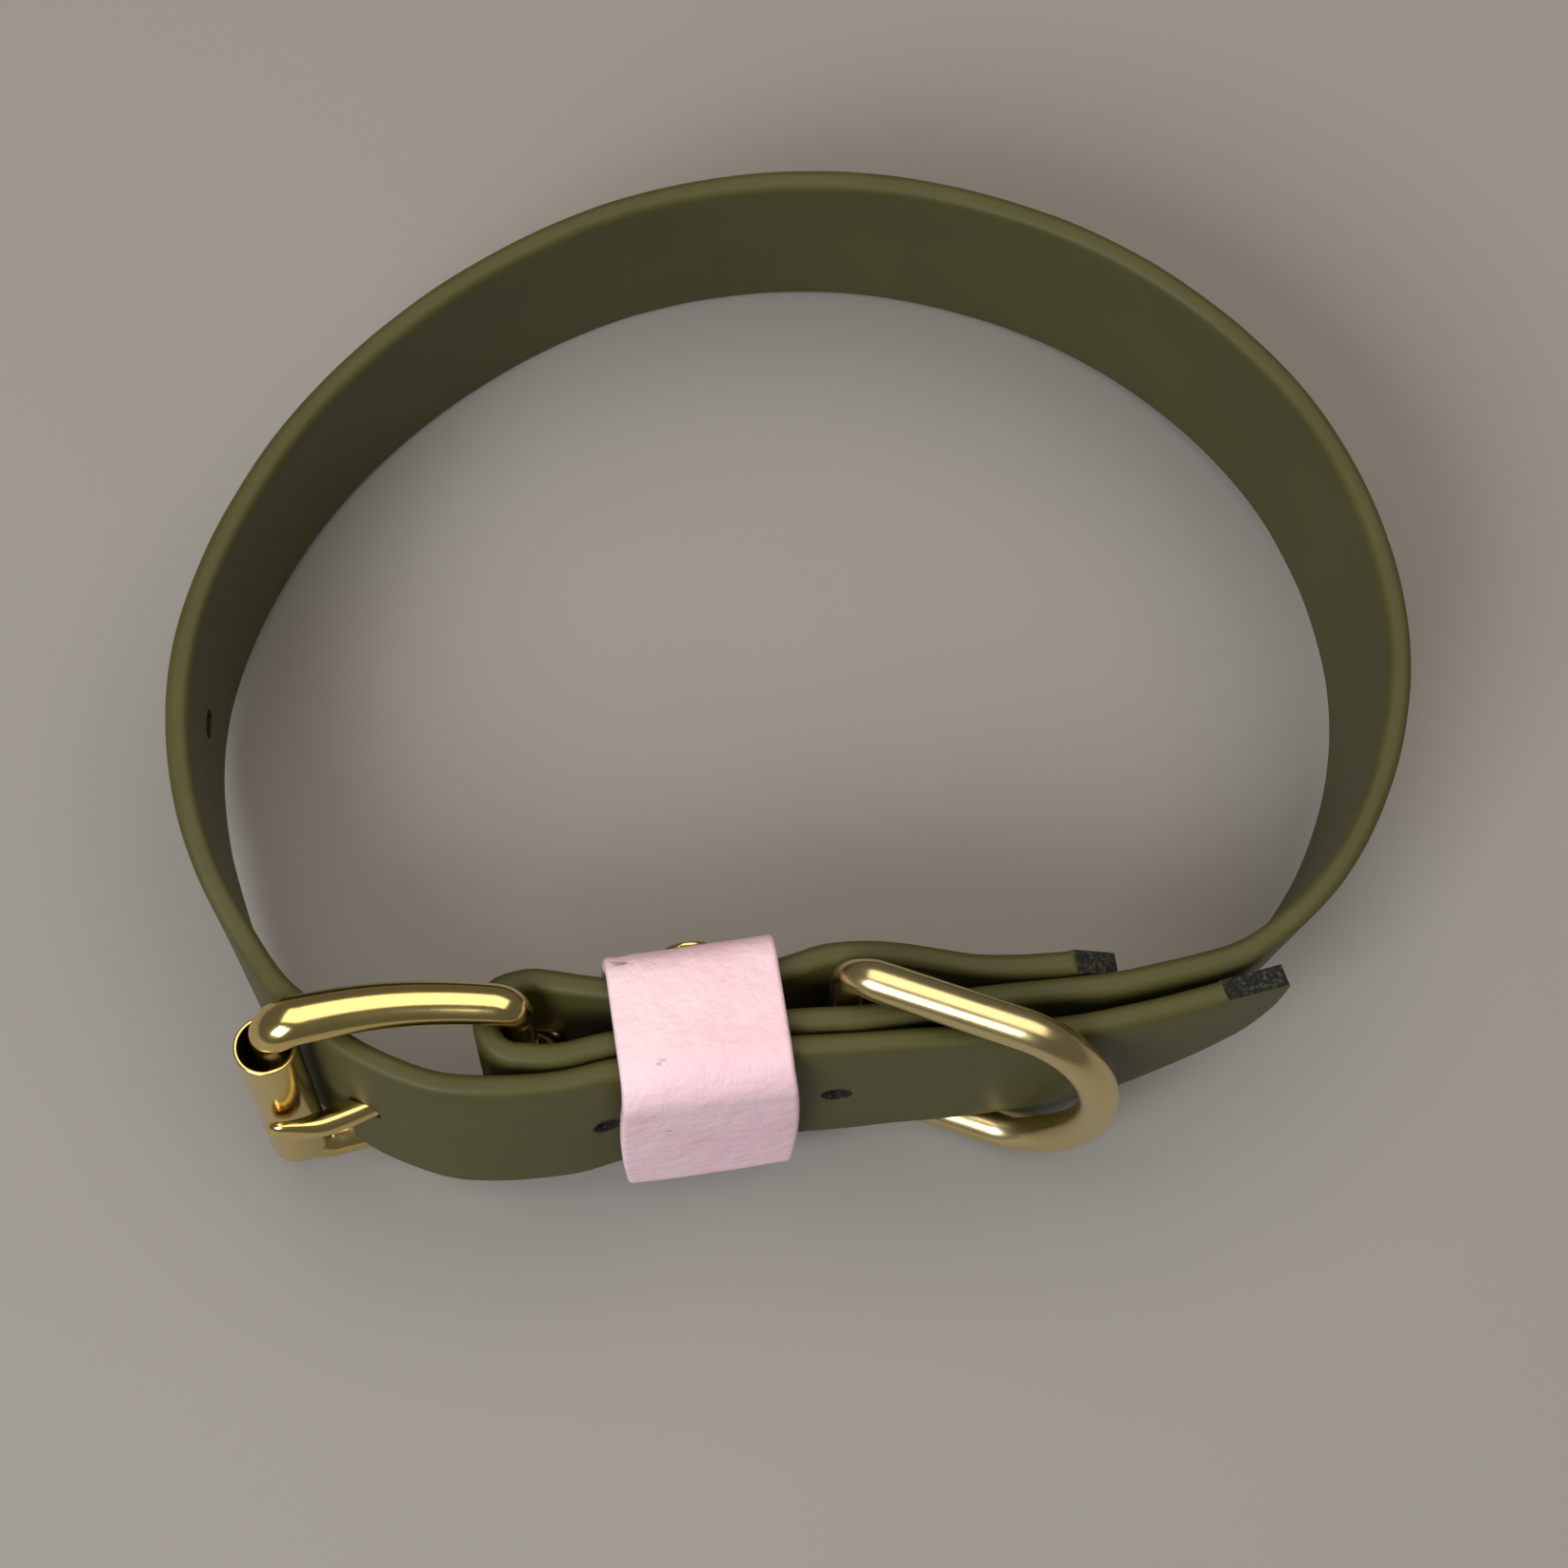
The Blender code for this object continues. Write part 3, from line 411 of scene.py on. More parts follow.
# The middle layer's dips and the tail's distance outside, in shares of the largest.
dipAfterFold = ((0.28, 1.10), (0.49, 1.14), (0.76, 0.64), (1.00, 0.25))
dipAfterRing = (
    (0.00, 1.00), (0.16, 0.75), (0.28, 0.55), (0.50, 0.25), (0.80, 0.54), (0.92, 0.62), (1.00, 0.50),
)
tailAfterRing = ((0.21, 0.56), (0.345, 0.75), (0.62, 0.965), (0.77, 1.00), (1.00, 0.74))
tailToTip = ((0.33, 0.31), (0.57, -0.07), (0.80, -0.55), (1.00, -1.00))

# Through the buckle: shares of its length and of the way out over the fold.
bucklePass = (
    (0.290, 0.315), (0.471, 0.640), (0.649, 0.855), (0.804, 0.942), (1.000, 0.992), (1.150, 1.00),
)


def innerLayer():
    top = ringBarY + ring["bar"] / 2.0 + ring["barPlay"] + strap["thickness"] / 2.0 - frontY
    low = layerPitch - 0.8 * strap["middleDip"]
    foldTop = buckle["heelInward"] + buckle["foldHalfY"]
    rows = [(between(ring["x"], strap["innerEndX"], a), between(low, top, b)) for a, b in innerToRing]
    rows += [(between(ring["x"], keeperRight, a), between(low, top, b)) for a, b in ringToKeeper]
    rows += [(keeper["x"] + a * keeper["width"], between(low, top, b)) for a, b in innerInKeeper]
    rows += [(between(keeperLeft, heelX, a), foldTop * b) for a, b in keeperToFold]
    return [(x, frontY + inside) for x, inside in rows]


def foldRoundHeel():
    points = []
    for k in range(9):
        angle = math.radians(90.0 + 22.5 * k)
        x = heelX + buckle["foldHalfX"] * math.cos(angle)
        points.append((x, heelY + buckle["foldHalfY"] * math.sin(angle)))
    return points


def middleLayer():
    rows = [(between(heelX, keeperLeft, a), dip) for a, dip in dipAfterFold]
    rows += [(keeper["x"], 0.0), (keeperRight, 0.2), (between(keeperRight, ring["x"], 0.62), 0.6)]
    rows += [(between(ring["x"], strap["innerEndX"], a), dip) for a, dip in dipAfterRing]
    return [(x, frontY - dip * strap["middleDip"]) for x, dip in rows]


def loopPoints():
    points = [(loop["halfWidth"] * a, frontY + loop["depth"] * b) for a, b in loopShape]
    return points + [(rollerX + a * insideRoller, rollerY + b * insideRoller) for a, b in loopEnd]


def outerLayer():
    insideX = rollerX + insideRoller * math.cos(math.radians(30.0))
    insideY = rollerY + insideRoller * math.sin(math.radians(30.0))
    points = [(insideX, insideY)]
    for share, out in bucklePass:
        points.append((rollerX + share * buckle["length"], insideY + out * (outsideFoldY - insideY)))
    points.append((keeperLeft, outerY - 0.25 * strap["foldStandoff"]))
    points.append((keeper["x"], outerY))
    points.append((keeperRight, outerY - 0.2 * strap["middleDip"]))
    points.append((ring["x"], outerY - strap["middleDip"]))
    rows = [(between(ring["x"], strap["innerEndX"], a), out) for a, out in tailAfterRing]
    rows += [(between(strap["innerEndX"], strap["tipX"], a), out) for a, out in tailToTip]
    return points + [(x, outerY - out * strap["tailStandoff"]) for x, out in rows]


class Route:
    # the strap's middle line from its inner end to its tip

    def __init__(self):
        parts = (innerLayer(), foldRoundHeel(), middleLayer(), loopPoints(), outerLayer())
        steps = 24
        self.line = smoothLine([p for part in parts for p in part], steps)
        step = np.linalg.norm(np.diff(self.line, axis=0), axis=1)
        self.length = np.concatenate(([0.0], np.cumsum(step)))
        counts = np.cumsum([len(part) for part in parts])
        self.foldStart = self.length[counts[0] * steps]
        self.foldEnd = self.length[(counts[1] - 1) * steps]
        self.loopStart = self.length[(counts[2] - 1) * steps]
        self.loopEnd = self.length[counts[3] * steps]
        self.total = self.length[-1]

    def at(self, s):
        return np.array([np.interp(s, self.length, self.line[:, axis]) for axis in (0, 1)])

    def placeAt(self, s):
        # middle point, direction through the thickness, direction up the width
        here = self.at(s)
        ahead = self.at(min(s + 0.0004, self.total)) - self.at(max(s - 0.0004, 0.0))
        ahead = ahead / np.linalg.norm(ahead)
        into = smoothStep((s - self.loopStart) / loop["leanBlend"])
        out = smoothStep((self.loopEnd - s) / loop["leanBlend"])
        lean = (1.0 - into * out) * leanAt(here[0])
        upright = np.array((0.0, math.sin(lean), math.cos(lean)))
        middle = laidBack(here[0], here[1], lean)
        middle[2] += liftAt(here[1]) + halfWidth
        normal = np.cross(upright, (ahead[0], ahead[1], 0.0))
        return middle, normal / np.linalg.norm(normal), upright

    def slotEnds(self, x):
        # where the inner and the middle layer pass a given X
        before = self.length < self.foldStart
        after = (self.length > self.foldEnd) & (self.length < self.loopStart)
        first = np.interp(-x, -self.line[before, 0], self.length[before])
        return first, np.interp(x, self.line[after, 0], self.length[after])

    def outerAtX(self, x):
        tail = self.length > self.loopEnd
        return float(np.interp(x, self.line[tail, 0], self.length[tail]))


def strapEdges(s, total):
    # heights of the lower and upper edge, and how square each one is cut
    low, high, cutLow, cutHigh = -halfWidth, halfWidth, 0.0, 0.0
    toTip = total - s
    if toTip < strap["tipLength"]:
        low += strap["tipRise"] * (1.0 - toTip / strap["tipLength"]) ** strap["tipCurve"]
        cutLow = smoothStep((strap["tipLength"] - toTip) / strap["cutBlend"])
    if toTip < strap["tipNose"]:
        low += strap["tipNoseRise"] * (1.0 - toTip / strap["tipNose"]) ** strap["noseCurve"]
    if toTip < strap["tipTopCut"]:
        high -= strap["tipTopDrop"] * (1.0 - toTip / strap["tipTopCut"])
        cutHigh = 1.0
    if s < strap["endCut"]:
        high -= strap["endDrop"] * (1.0 - s / strap["endCut"])
        low += strap["endDrop"] * (1.0 - s / strap["endCut"])
        cutLow = cutHigh = 1.0
    return low, high, cutLow, cutHigh


def strapSection(low, high, cutLow, cutHigh):
    # (across the thickness, up the width, face tag) for one section
    half = strap["thickness"] / 2.0
    curves = []
    for cut in (cutHigh, cutLow):
        full = min(strap["edgeRound"], 0.4 * (high - low))
        curves.append(between(full, strap["cutRound"], cut))
    top, bottom = curves
    corners = (
        (half - top, high - top, 0.0, top, cutHigh),
        (-half + top, high - top, 90.0, top, cutHigh),
        (-half + bottom, low + bottom, 180.0, bottom, cutLow),
        (half - bottom, low + bottom, 270.0, bottom, cutLow),
    )
    section = []
    for index, (across, up, start, curve, cut) in enumerate(corners):
        tag = 1 if cut > 0.5 and index in (0, 2) else 0
        for k in range(6):
            angle = math.radians(start + 18.0 * k)
            section.append((across + curve * math.cos(angle), up + curve * math.sin(angle), tag))
        following = corners[(index + 1) % 4]
        begin = section[-1]
        angle = math.radians(following[2])
        end = (following[0] + following[3] * math.cos(angle), following[1] + following[3] * math.sin(angle))
        steps = 10 if index in (1, 3) else 3
        for k in range(1, steps):
            t = k / steps
            section.append((between(begin[0], end[0], t), between(begin[1], end[1], t), tag))
    return section


def buildStrap(route):
    # sections at even stations, closer at the cut ends
    count = int(route.total / strap["station"])
    stations = list(np.linspace(0.0, route.total, count))
    stations += list(np.linspace(0.0, strap["endCut"], 14)) + [route.total - strap["tipTopCut"] - 0.00002]
    stations += list(np.linspace(route.total - strap["tipTopCut"], route.total, 20))
    stations = sorted(set(round(float(s), 7) for s in stations))
    rings = []
    tags = []
    places = []
    for s in stations:
        middle, normal, upright = route.placeAt(s)
        low, high, cutLow, cutHigh = strapEdges(s, route.total)
        row = []
        rowTags = []
        rowPlaces = []
        for across, up, tag in strapSection(low, high, cutLow, cutHigh):
            face = 3.1 if across > 0 else 7.7  # each side of the strap has its own swell
            swell = strap["wobble"] * noise.noise(Vector((s * 130.0, up * 220.0, face)))
            sway = 1.4 * strap["wobble"] * noise.noise(Vector((s * 60.0, 1.7, 9.2)))
            row.append(middle + normal * (across + math.copysign(swell, across)) + upright * (up + sway))
            rowTags.append(tag)
            rowPlaces.append((s, up + across))
        rings.append(row)
        tags.append(rowTags)
        places.append(rowPlaces)
    verts, faces = loft(rings, closed=False)
    size = len(rings[0])
    faceTags = []
    uv = []
    for i in range(len(rings) - 1):
        for k in range(size):
            m = (k + 1) % size
            faceTags.append(tags[i][k] if tags[i][k] == tags[i + 1][k] else 0)
            uv += [places[i][k], places[i][m], places[i + 1][m], places[i + 1][k]]
    faceTags += [1, 1]
    uv += [places[0][k] for k in range(size - 1, -1, -1)] + [places[-1][k] for k in range(size)]
    piece = meshPiece("coated_strap", verts, faces, faceTags, uv)
    piece.data.materials.append(finishes["coating"])
    piece.data.materials.append(finishes["core"])
    return piece


def coreCutter(name, rings):
    verts, faces = loft(rings, closed=False)
    cutter = meshPiece(name, verts, faces)
    cutter.data.materials.append(finishes["core"])
    return cutter


def holeCutter(route, s, index):
    # oval punched hole; the walls show the dark core
    middle, normal, upright = route.placeAt(s)
    axis = normal - upright * float(normal @ upright)
    reach = strap["thickness"] / 2.0 + 0.45 * strap["layerGap"]
    radius = strap["holeWidth"] / 2.0
    return coreCutter(f"hole_{index}", turned(((-reach, radius), (reach, radius)), middle, axis, 40))


# Buckle, roller and tongue

buckle = {
    "heelX": -0.0295,
    "length": 0.0226,
    "heelBar": 0.003,
    "frontBar": 0.0032,
    "railHeel": 0.0032,
    "railFront": 0.004,
    "railBow": 0.0011,
    "railOval": 1.17,
    "sidePlay": 0.0004,
    "heelCorner": 0.0019,
    "frontCorner": 0.0027,
    "heelInward": 0.0033,
    "foldHalfX": 0.003,
    "foldHalfY": 0.00345,
}


def buildBuckleFrame(plane):
    # one closed wire: heel bar, top rail, front bar inside the roller, low rail
    front = -buckle["length"] + roller["droop"]
    heelTop = railHalfHeel
    frontTop = railHalfFront
    heelTurn = buckle["heelCorner"]
    frontTurn = buckle["frontCorner"]
    half = [(0.0, heelTop * share) for share in np.linspace(0.0, 0.84, 22)]
    half += arcPoints((-heelTurn, heelTop - heelTurn), heelTurn, 0.0, 90.0, 14)
    half += [(front * t, heelTop + (frontTop - heelTop) * t) for t in np.linspace(0.12, 0.85, 24)]
    half += arcPoints((front + frontTurn, frontTop - frontTurn), frontTurn, 90.0, 90.0, 18)
    half += [(front, frontTop * share) for share in np.linspace(0.76, 0.02, 20)]
    path = half + [(along, -up) for along, up in reversed(half[1:])]
    points = []
    radii = []
    depths = []
    frontIn = roller["inward"] + roller["droop"]
    for along, up in path:
        share = along / front
        bow = buckle["railBow"] * math.sin(math.pi * min(share, 1.0))
        points.append(plane.point(along, frontIn * share + bow, up))
        rail = (buckle["railHeel"] + (buckle["railFront"] - buckle["railHeel"]) * share) / 2.0
        bar = (buckle["heelBar"] if share < 0.5 else buckle["frontBar"]) / 2.0
        height = heelTop + (frontTop - heelTop) * share
        corner = heelTurn if share < 0.5 else frontTurn
        onRail = smoothStep((abs(up) - (height - 1.5 * corner)) / (1.5 * corner))
        radii.append(bar + (rail - bar) * onRail)
        depths.append(radii[-1] * (1.0 + (buckle["railOval"] - 1.0) * onRail))
    verts, faces = loft(sweep(points, depths, radii, plane.inward, 32, True), closed=True)
    piece = meshPiece("brass_buckle_frame", verts, faces)
    piece.data.materials.append(finishes["polished"])
    return piece


roller = {
    "width": 0.0057,
    "wall": 0.0004,
    "endPlay": 0.001,
    "inward": 0.0006,
    "droop": 0.00045,
    "strapGap": 0.00085,
}


def buildRoller(plane):
    # thin tube with slightly rounded lips
    half = railHalfFront - buckle["railFront"] / 2.0 - roller["endPlay"]
    outer = roller["width"] / 2.0
    inner = outer - roller["wall"]
    lip = 0.3 * roller["wall"]
    centre = plane.point(-buckle["length"], roller["inward"], 0.0)
    side = (
        (half - 3.0 * lip, inner), (half - lip, inner),
        (half - 0.3 * lip, inner + 0.3 * lip), (half, inner + lip),
        (half, outer - lip), (half - 0.3 * lip, outer - 0.3 * lip),
        (half - lip, outer), (half - 3.0 * lip, outer),
    )
    profile = list(side) + [(-along, radius) for along, radius in reversed(side)]
    verts, faces = loft(turned(profile, centre, plane.up, 96), closed=True)
    piece = meshPiece("brass_roller", verts, faces, sharp=70.0)
    piece.data.materials.append(finishes["polished"])
    return piece


tongue = {
    "width": 0.0024,
    "tipWidth": 0.0033,
    "tipThick": 0.0015,
    "play": 0.00025,
    "slotPlay": 0.00035,
    "throughHole": (0.52, 0.87),  # the part of it that the used hole is cut round
}

# The tongue from its curl to its tip: shares of the buckle's length and of
# the tongue's distance outside the roller.
tongueShank = (
    (0.160, 0.62), (0.290, 0.42), (0.450, 0.38), (0.620, 0.52), (0.750, 0.78),
    (0.880, 0.97), (0.970, 1.01), (1.030, 0.98), (1.070, 0.86),
)


def tonguePath():
    eye = buckle["heelBar"] / 2.0 + tongue["play"] + tongue["width"] / 2.0
    outside = roller["width"] / 2.0 + tongue["play"] + 0.55 * tongue["tipThick"] - roller["inward"]
    points = []
    for k in range(15):
        angle = math.radians(158.0 - 248.0 * k / 14.0)
        points.append((eye * math.cos(angle), eye * math.sin(angle)))
    for share, out in tongueShank:
        points.append((-buckle["length"] * share, -outside * out))
    return smoothLine(points, 8)


def tongueRings(plane, extra, sides):
    fine = tonguePath()
    tip = fine[-1]
    places = []
    wide = []
    thick = []
    for along, inward in fine:
        places.append(plane.point(along, inward, 0.0))
        toTip = math.hypot(along - tip[0], inward - tip[1])
        roundPart = smoothStep((toTip - 0.5 * tongue["width"]) / (1.8 * tongue["width"]))
        end = math.sqrt(max(0.0, 1.0 - (1.0 - min(toTip / (0.45 * tongue["tipWidth"]), 1.0)) ** 2))
        width = tongue["tipWidth"] + (tongue["width"] - tongue["tipWidth"]) * roundPart
        depth = tongue["tipThick"] + (tongue["width"] - tongue["tipThick"]) * roundPart
        wide.append(0.5 * width * (0.45 + 0.55 * end) + extra)
        thick.append(0.5 * depth * (0.6 + 0.4 * end) + extra)
    return sweep(places, wide, thick, plane.up, sides, False)


def buildTongue(plane):
    verts, faces = loft(tongueRings(plane, 0.0, 28), closed=False)
    piece = meshPiece("brass_tongue", verts, faces)
    piece.data.materials.append(finishes["polished"])
    return piece


def tongueHoleCutter(plane):
    rings = tongueRings(plane, 0.9 * tongue["play"], 28)
    first, last = (int(share * len(rings)) for share in tongue["throughHole"])
    return coreCutter("tongue_hole", rings[first:last])


def foldSlotCutter(route):
    # a slot along the fold, long enough for the tongue's eye on the heel bar
    half = tongue["width"] / 2.0 + tongue["slotPlay"]
    reach = strap["thickness"] / 2.0 + 0.5 * strap["layerGap"]
    eye = buckle["heelBar"] / 2.0 + tongue["play"] + tongue["width"]
    first, last = route.slotEnds(heelX + eye + 0.5 * tongue["slotPlay"])
    rings = []
    for s in np.linspace(first, last, 44):
        middle, normal, upright = route.placeAt(s)
        corners = ((reach, half), (-reach, half), (-reach, -half), (reach, -half))
        rings.append([middle + normal * a + upright * h for a, h in corners])
    return coreCutter("fold_slot", rings)


# D-ring

ring = {
    "x": 0.0004,
    "bar": 0.0032,
    "wire": 0.0038,
    "depth": 0.025,
    "arcDepth": 0.009,
    "sidePlay": 0.0007,
    "corner": 0.0024,
    "restAngle": -27.5,
    "extraLean": 0.5,
    "barPlay": 0.0004,
}


def buildRing():
    plane = Plane(ring["x"], ringBarY, ringLean)
    turn = math.radians(ring["restAngle"])
    out = plane.along * math.cos(turn) + plane.inward * math.sin(turn)
    side = plane.inward * math.cos(turn) - plane.along * math.sin(turn)
    leg = ring["depth"] - ring["arcDepth"]
    corner = ring["corner"]
    half = [(0.0, ringHalf * share) for share in np.linspace(0.0, 0.8, 18)]
    half += arcPoints((corner, ringHalf - corner), corner, 180.0, -90.0, 16)
    half += [(corner + (leg - corner) * t, ringHalf) for t in np.linspace(0.1, 1.0, 12)]
    for angle in np.radians(np.linspace(88.0, 1.0, 44)):
        half.append((leg + ring["arcDepth"] * math.cos(angle), ringHalf * math.sin(angle)))
    path = half + [(reach, -up) for reach, up in reversed(half[1:])]
    points = []
    radii = []
    for reach, up in path:
        points.append(plane.origin + out * reach + plane.up * up)
        grow = smoothStep(reach / (1.2 * corner))
        radii.append((ring["bar"] + (ring["wire"] - ring["bar"]) * grow) / 2.0)
    verts, faces = loft(sweep(points, radii, radii, side, 36, True), closed=True)
    piece = meshPiece("brass_d_ring", verts, faces)
    piece.data.materials.append(finishes["satin"])
    return piece


# Keeper and rivets

keeper = {
    "x": -0.01345,
    "width": 0.0166,
    "wall": 0.0015,
    "roundOut": 0.0028,
    "roundIn": 0.0016,
    "slack": 0.0012,
    "drawnIn": 0.00055,
    "wobble": 0.00012,
}


def keeperOutline(grow):
    # rounded rectangle round all three layers, as (inward, up) pairs
    curveIn = keeper["roundIn"] + grow
    curveOut = keeper["roundOut"] + grow
    inside = keeperIn + grow - curveIn
    outside = -keeperOut - grow + curveOut
    top = keeperHalf + grow
    corners = (
        (inside, top - curveIn, curveIn, 0.0, 12),
        (outside, top - curveOut, curveOut, 90.0, 26),
        (outside, curveOut - top, curveOut, 180.0, 12),
        (inside, curveIn - top, curveIn, 270.0, 26),
    )
    points = []
    for index, (inward, up, curve, start, steps) in enumerate(corners):
        for k in range(13):
            angle = math.radians(start + 7.5 * k)
            points.append((inward + curve * math.cos(angle), up + curve * math.sin(angle)))
        following = corners[(index + 1) % 4]
        angle = math.radians(following[3])
        begin = points[-1]
        end = (following[0] + following[2] * math.cos(angle), following[1] + following[2] * math.sin(angle))
        for k in range(1, steps):
            t = k / steps
            points.append((between(begin[0], end[0], t), between(begin[1], end[1], t)))
    return points


def keeperWall():
    # the wall's section: place along the keeper, share of its thickness
    half = keeper["width"] / 2.0
    lipShare = 0.32  # how much of the wall its rounded lips take
    edge = lipShare * keeper["wall"]
    turn = np.radians(np.linspace(0, 90, 6))
    lip = [(half - edge * (1.0 - math.sin(a)), lipShare * (1.0 - math.cos(a))) for a in turn]
    right = lip + [(x, 1.0 - share) for x, share in reversed(lip)]
    left = [(-x, share) for x, share in reversed(right)]
    inside = [(x, 0.0) for x in np.linspace(-half + 2.0 * edge, half - 2.0 * edge, 12)]
    outside = [(x, 1.0) for x in np.linspace(half - 2.0 * edge, -half + 2.0 * edge, 26)]
    return inside + right + outside + left


def buildKeeper():
    plane = Plane(keeper["x"], frontY, leanAt(keeper["x"]))
    rings = []
    for along, share in keeperWall():
        row = []
        for inward, up in keeperOutline(keeper["wall"] * share):
            drawn = 1.0 - 2.0 * keeper["drawnIn"] / keeper["width"] * min(abs(up) / keeperHalf, 1.0) ** 2
            point = plane.point(along * drawn, inward, up)
            spot = Vector((along * 180.0, inward * 260.0, up * 160.0))
            swell = keeper["wobble"] * share * noise.noise(spot)
            away = plane.inward * inward / keeperIn + plane.up * up / keeperHalf
            row.append(point + away / np.linalg.norm(away) * swell)
        rings.append(row)
    verts, faces = loft(rings, closed=True)
    piece = meshPiece("pink_keeper", verts, faces, sharp=60.0)
    piece.data.materials.append(finishes["keeper"])
    return piece, plane


rivet = {
    "shank": 0.0024,
    "head": 0.005,
    "headHeight": 0.0009,
    "tail": 0.0046,
    "tailThick": 0.0007,
    "play": 0.0002,
    "keeperUp": 0.0089,
    "ringX": 0.0165,
}


def rivetProfile(seat, headWide, headHeight, extra):
    shank = rivet["shank"] / 2.0 + extra
    tail = rivet["tail"] / 2.0 + extra
    tailEnd = -strap["thickness"] / 2.0 + rivet["play"] - 2.0 * extra
    tailTop = -strap["thickness"] / 2.0 + rivet["play"] + rivet["tailThick"] + extra
    rows = [(tailEnd, 0.4 * tail), (tailEnd, tail), (tailTop, tail), (tailTop, shank)]
    if extra:
        return rows + [(seat + headHeight, shank)]
    base = seat + rivet["play"]
    rim = 0.3 * headHeight
    rows += [(base, shank), (base, 0.5 * headWide - 0.3 * rim), (base + 0.3 * rim, 0.5 * headWide)]
    rows.append((base + rim, 0.5 * headWide))
    for angle in np.radians(np.linspace(8.0, 88.0, 16)):
        rows.append((base + rim + 0.7 * headHeight * math.sin(angle), 0.5 * headWide * math.cos(angle)))
    return rows


def buildRivet(name, plane, up, seat, headWide, headHeight):
    centre = plane.point(0.0, 0.0, up)
    profile = rivetProfile(seat, headWide, headHeight, 0.0)
    verts, faces = loft(turned(profile, centre, plane.inward, 64), closed=False)
    piece = meshPiece(name, verts, faces)
    piece.data.materials.append(finishes["polished"])
    profile = rivetProfile(seat, headWide, headHeight, rivet["play"])
    cutters = [coreCutter(f"{name}_hole_{i}", turned(profile, centre, plane.inward, 32)) for i in range(2)]
    return piece, cutters


# Places that follow from the settings

def leanAt(x):
    # how far the front lies back, more so at the buckle than at the tip
    share = min(max(x, rollerX), strap["tipX"]) / loop["halfWidth"]
    return math.radians(loop["lean"] + loop["twist"] * share)


def laidBack(x, y, lean):
    # the front's layers are stacked square to their lean
    inside = y - frontY
    return np.array((x, frontY + inside * math.cos(lean), -inside * math.sin(lean)))


def liftAt(y):
    # the buckle and the D-ring hold the front up; the back rests on its edge
    start, over = loop["liftShares"]
    share = (backY - start * loop["depth"] - y) / (over * loop["depth"])
    return frontLift * min(max(share, 0.0), 1.0)


class Plane:
    # a leaned frame: along X, inward out of the plane, up the strap's width

    def __init__(self, x, y, lean):
        self.origin = laidBack(x, y, lean) + np.array((0.0, 0.0, midZ))
        self.along = np.array((1.0, 0.0, 0.0))
        self.inward = np.array((0.0, math.cos(lean), -math.sin(lean)))
        self.up = np.array((0.0, math.sin(lean), math.cos(lean)))

    def point(self, along, inward, up):
        return self.origin + self.along * along + self.inward * inward + self.up * up


halfWidth = strap["width"] / 2.0
layerPitch = strap["thickness"] + strap["layerGap"]
frontY = loop["frontY"]
heelX = buckle["heelX"]
heelY = frontY + buckle["heelInward"]
rollerX = heelX - buckle["length"]
rollerY = heelY + roller["inward"]
ringBarY = frontY - strap["middleDip"] + strap["thickness"] / 2.0 + ring["barPlay"] + ring["bar"] / 2.0
pocket = strap["thickness"] + 2.0 * ring["barPlay"] + ring["bar"]
keeperLeft = keeper["x"] - keeper["width"] / 2.0
keeperRight = keeper["x"] + keeper["width"] / 2.0
outerY = frontY - layerPitch
outsideFoldY = outerY - strap["foldStandoff"]
insideRoller = roller["width"] / 2.0 + strap["thickness"] / 2.0 + roller["strapGap"]
backY = frontY + loop["depth"]
railHalfHeel = halfWidth + buckle["sidePlay"] + buckle["railHeel"] / 2.0
railHalfFront = halfWidth + buckle["sidePlay"] + buckle["railFront"] / 2.0
ringHalf = halfWidth + ring["sidePlay"] + ring["wire"] / 2.0
keeperRoom = 1.3 * strap["layerGap"]
keeperOut = strap["thickness"] / 2.0 + layerPitch + keeper["slack"] + keeperRoom
keeperIn = layerPitch + strap["thickness"] / 2.0 + 0.5 * pocket
keeperHalf = halfWidth + keeperRoom

# how far the buckle and the D-ring reach below the strap's middle
buckleLean = leanAt(heelX - buckle["length"] / 2.0)
ringLean = leanAt(ring["x"]) + math.radians(ring["extraLean"])
buckleReach = railHalfFront * math.cos(buckleLean)
railTurn = math.hypot(math.cos(buckleLean), buckle["railOval"] * math.sin(buckleLean))
buckleReach += buckle["railFront"] / 2.0 * railTurn
buckleReach += (buckle["heelInward"] + roller["inward"] + roller["droop"]) * math.sin(buckleLean)
ringReach = ringHalf * math.cos(ringLean) + ring["wire"] / 2.0
ringReach += (ringBarY - frontY) * math.sin(ringLean)
frontLift = max(buckleReach, ringReach) + loop["floorPlay"] - halfWidth
midZ = frontLift + halfWidth

# The frame's origin is the footprint's middle: the D-ring's joint tells the shift.
jointPlace = {joint["name"]: np.array(joint["pos_m"]) for joint in frame["joints"]}
originShift = jointPlace["d_ring_swing"] - laidBack(ring["x"], ringBarY, ringLean)
originShift[2] -= midZ
print("origin shift:", np.round(originShift, 6))
bucklePlane = Plane(heelX, heelY, buckleLean)


# Putting it together

route = Route()
print("strap length:", round(route.total * 1000.0, 1), "mm")
strapPiece = buildStrap(route)
keeperPiece, keeperPlane = buildKeeper()
keeperRivet, keeperHoles = buildRivet(
    "brass_keeper_rivet", keeperPlane, rivet["keeperUp"], keeperIn + keeper["wall"],
    rivet["head"], rivet["headHeight"])
ringRivetPlane = Plane(rivet["ringX"], frontY, leanAt(rivet["ringX"]))
ringRivet, ringHoles = buildRivet(
    "brass_ring_rivet", ringRivetPlane, 0.0, layerPitch + strap["thickness"] / 2.0 + rivet["play"],
    0.85 * rivet["head"], 0.75 * rivet["headHeight"])
bpy.data.objects.remove(ringHoles.pop(), do_unlink=True)
usedHole = route.outerAtX(heelX - strap["usedHole"] * buckle["length"])
numbers = [k for k in range(-strap["holesBefore"], strap["holesAfter"] + 1) if k]
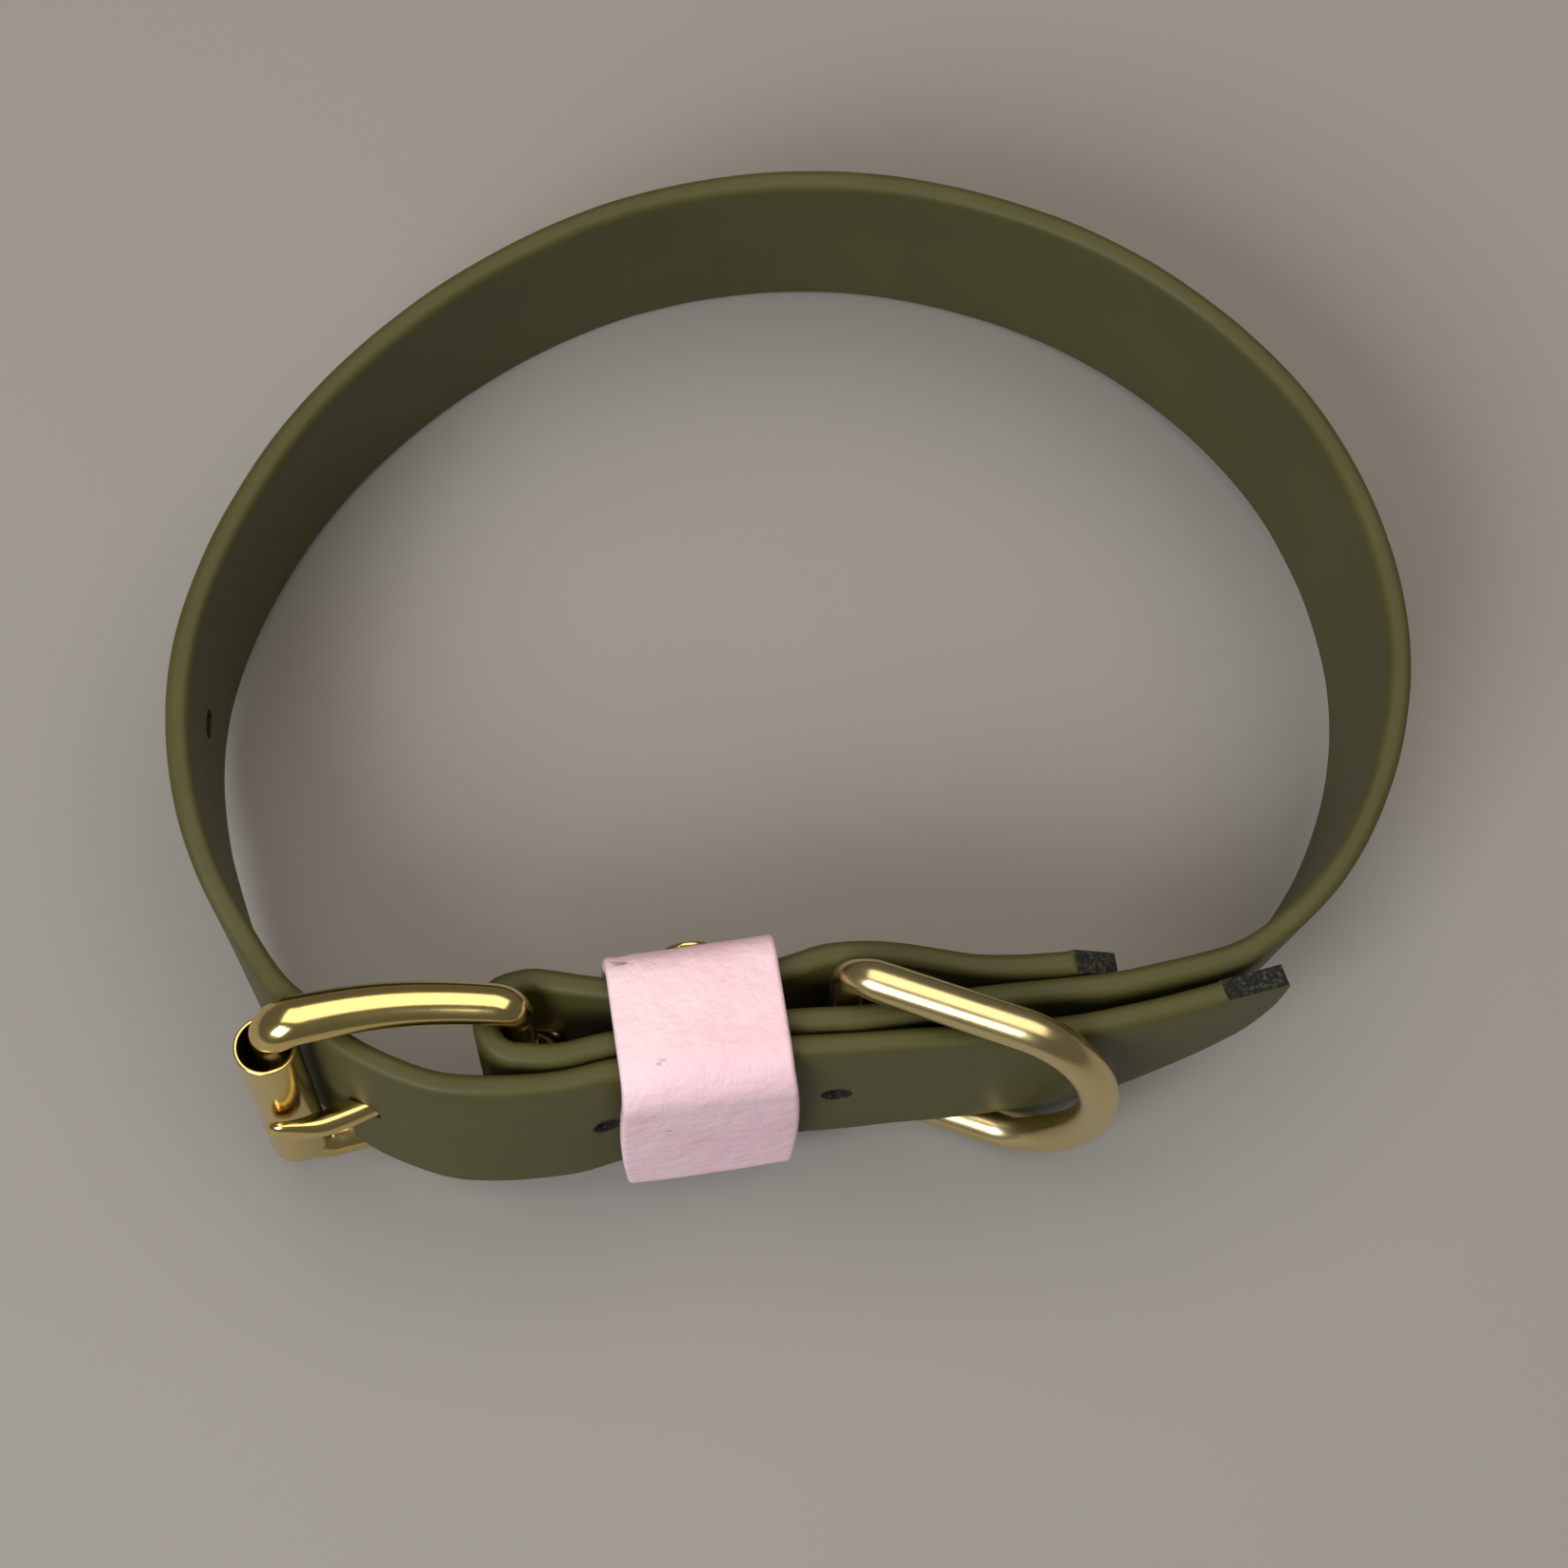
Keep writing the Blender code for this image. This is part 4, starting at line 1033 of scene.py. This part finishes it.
cutters = [holeCutter(route, usedHole + strap["holePitch"] * k, i) for i, k in enumerate(numbers)]
cutters += [tongueHoleCutter(bucklePlane), foldSlotCutter(route), keeperHoles[0], ringHoles[0]]
punch(strapPiece, cutters)
punch(keeperPiece, [keeperHoles[1]])
print("strap and keeper punched")
framePiece = buildBuckleFrame(bucklePlane)
rollerPiece = buildRoller(bucklePlane)
tonguePiece = buildTongue(bucklePlane)
ringPiece = buildRing()
print("metal made")

rides = (
    (strapPiece, "strap", "collar", "strap_coating"),
    (keeperPiece, "keeper", "collar", "keeper_coating"),
    (framePiece, "buckle_frame", "collar", "polished_brass"),
    (tonguePiece, "tongue", "collar", "polished_brass"),
    (keeperRivet, "keeper_rivet", "collar", "polished_brass"),
    (ringRivet, "ring_rivet", "collar", "polished_brass"),
    (rollerPiece, "roller", "roller_body", "polished_brass"),
    (ringPiece, "d_ring", "ring_body", "satin_brass"),
)
for piece, node, body, slot in rides:
    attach(piece, body)
    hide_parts(node)
print("pieces riding:", len(rides))


# Floor, light and camera

def buildFloor():
    mat, shader = newMaterial("pale matte tabletop", "#989590", 0.7)
    bpy.ops.mesh.primitive_plane_add(size=3.0, location=(0.0, 0.0, -0.00005))
    floor = bpy.context.object
    floor.name = "floor"
    floor.data.materials.append(mat)


def softLight(name, place, target, size, power, hexColour):
    light = bpy.data.lights.new(name, "AREA")
    light.shape = "RECTANGLE"
    light.size, light.size_y = size
    light.energy = power
    light.color = toLinear(hexColour)[:3]
    lamp = bpy.data.objects.new(name, light)
    lamp.location = place
    lamp.rotation_euler = (Vector(target) - Vector(place)).to_track_quat("-Z", "Y").to_euler()
    bpy.context.collection.objects.link(lamp)


camera = {
    "distance": 0.292801,
    "elevation": 75.0,
    "heading": -19.5,
    "roll": 11.3,
    "lens": 65.61,
}


def buildCamera():
    data = bpy.data.cameras.new("camera")
    data.lens = camera["lens"]
    data.sensor_width = 36.0
    data.clip_start = 0.01
    turnDown = Matrix.Rotation(math.radians(90.0 - camera["elevation"]), 4, "X")
    heading = Matrix.Rotation(math.radians(camera["heading"]), 4, "Z")
    roll = Matrix.Rotation(math.radians(camera["roll"]), 4, "Z")
    pose = heading @ turnDown @ roll
    target = Vector((originShift[0], originShift[1], 0.0))
    pose.translation = target + pose.to_3x3() @ Vector((0.0, 0.0, camera["distance"]))
    lens = bpy.data.objects.new("camera", data)
    lens.matrix_world = pose
    bpy.context.collection.objects.link(lens)
    bpy.context.scene.camera = lens


buildFloor()
softLight("window", (-0.45, -0.42, 0.62), (0.0, 0.0, 0.0), (0.42, 0.42), 5.4, "#f3f4f7")
softLight("ceiling", (0.1, 0.2, 0.8), (0.0, 0.0, 0.0), (1.0, 0.8), 4.6, "#fff4e6")
world = bpy.data.worlds.new("room")
world.use_nodes = True
world.node_tree.nodes["Background"].inputs["Color"].default_value = toLinear("#cbcac6")
world.node_tree.nodes["Background"].inputs["Strength"].default_value = 0.2
bpy.context.scene.world = world
bpy.context.scene.view_settings.view_transform = "Standard"
buildCamera()
print("floor, light and camera set")
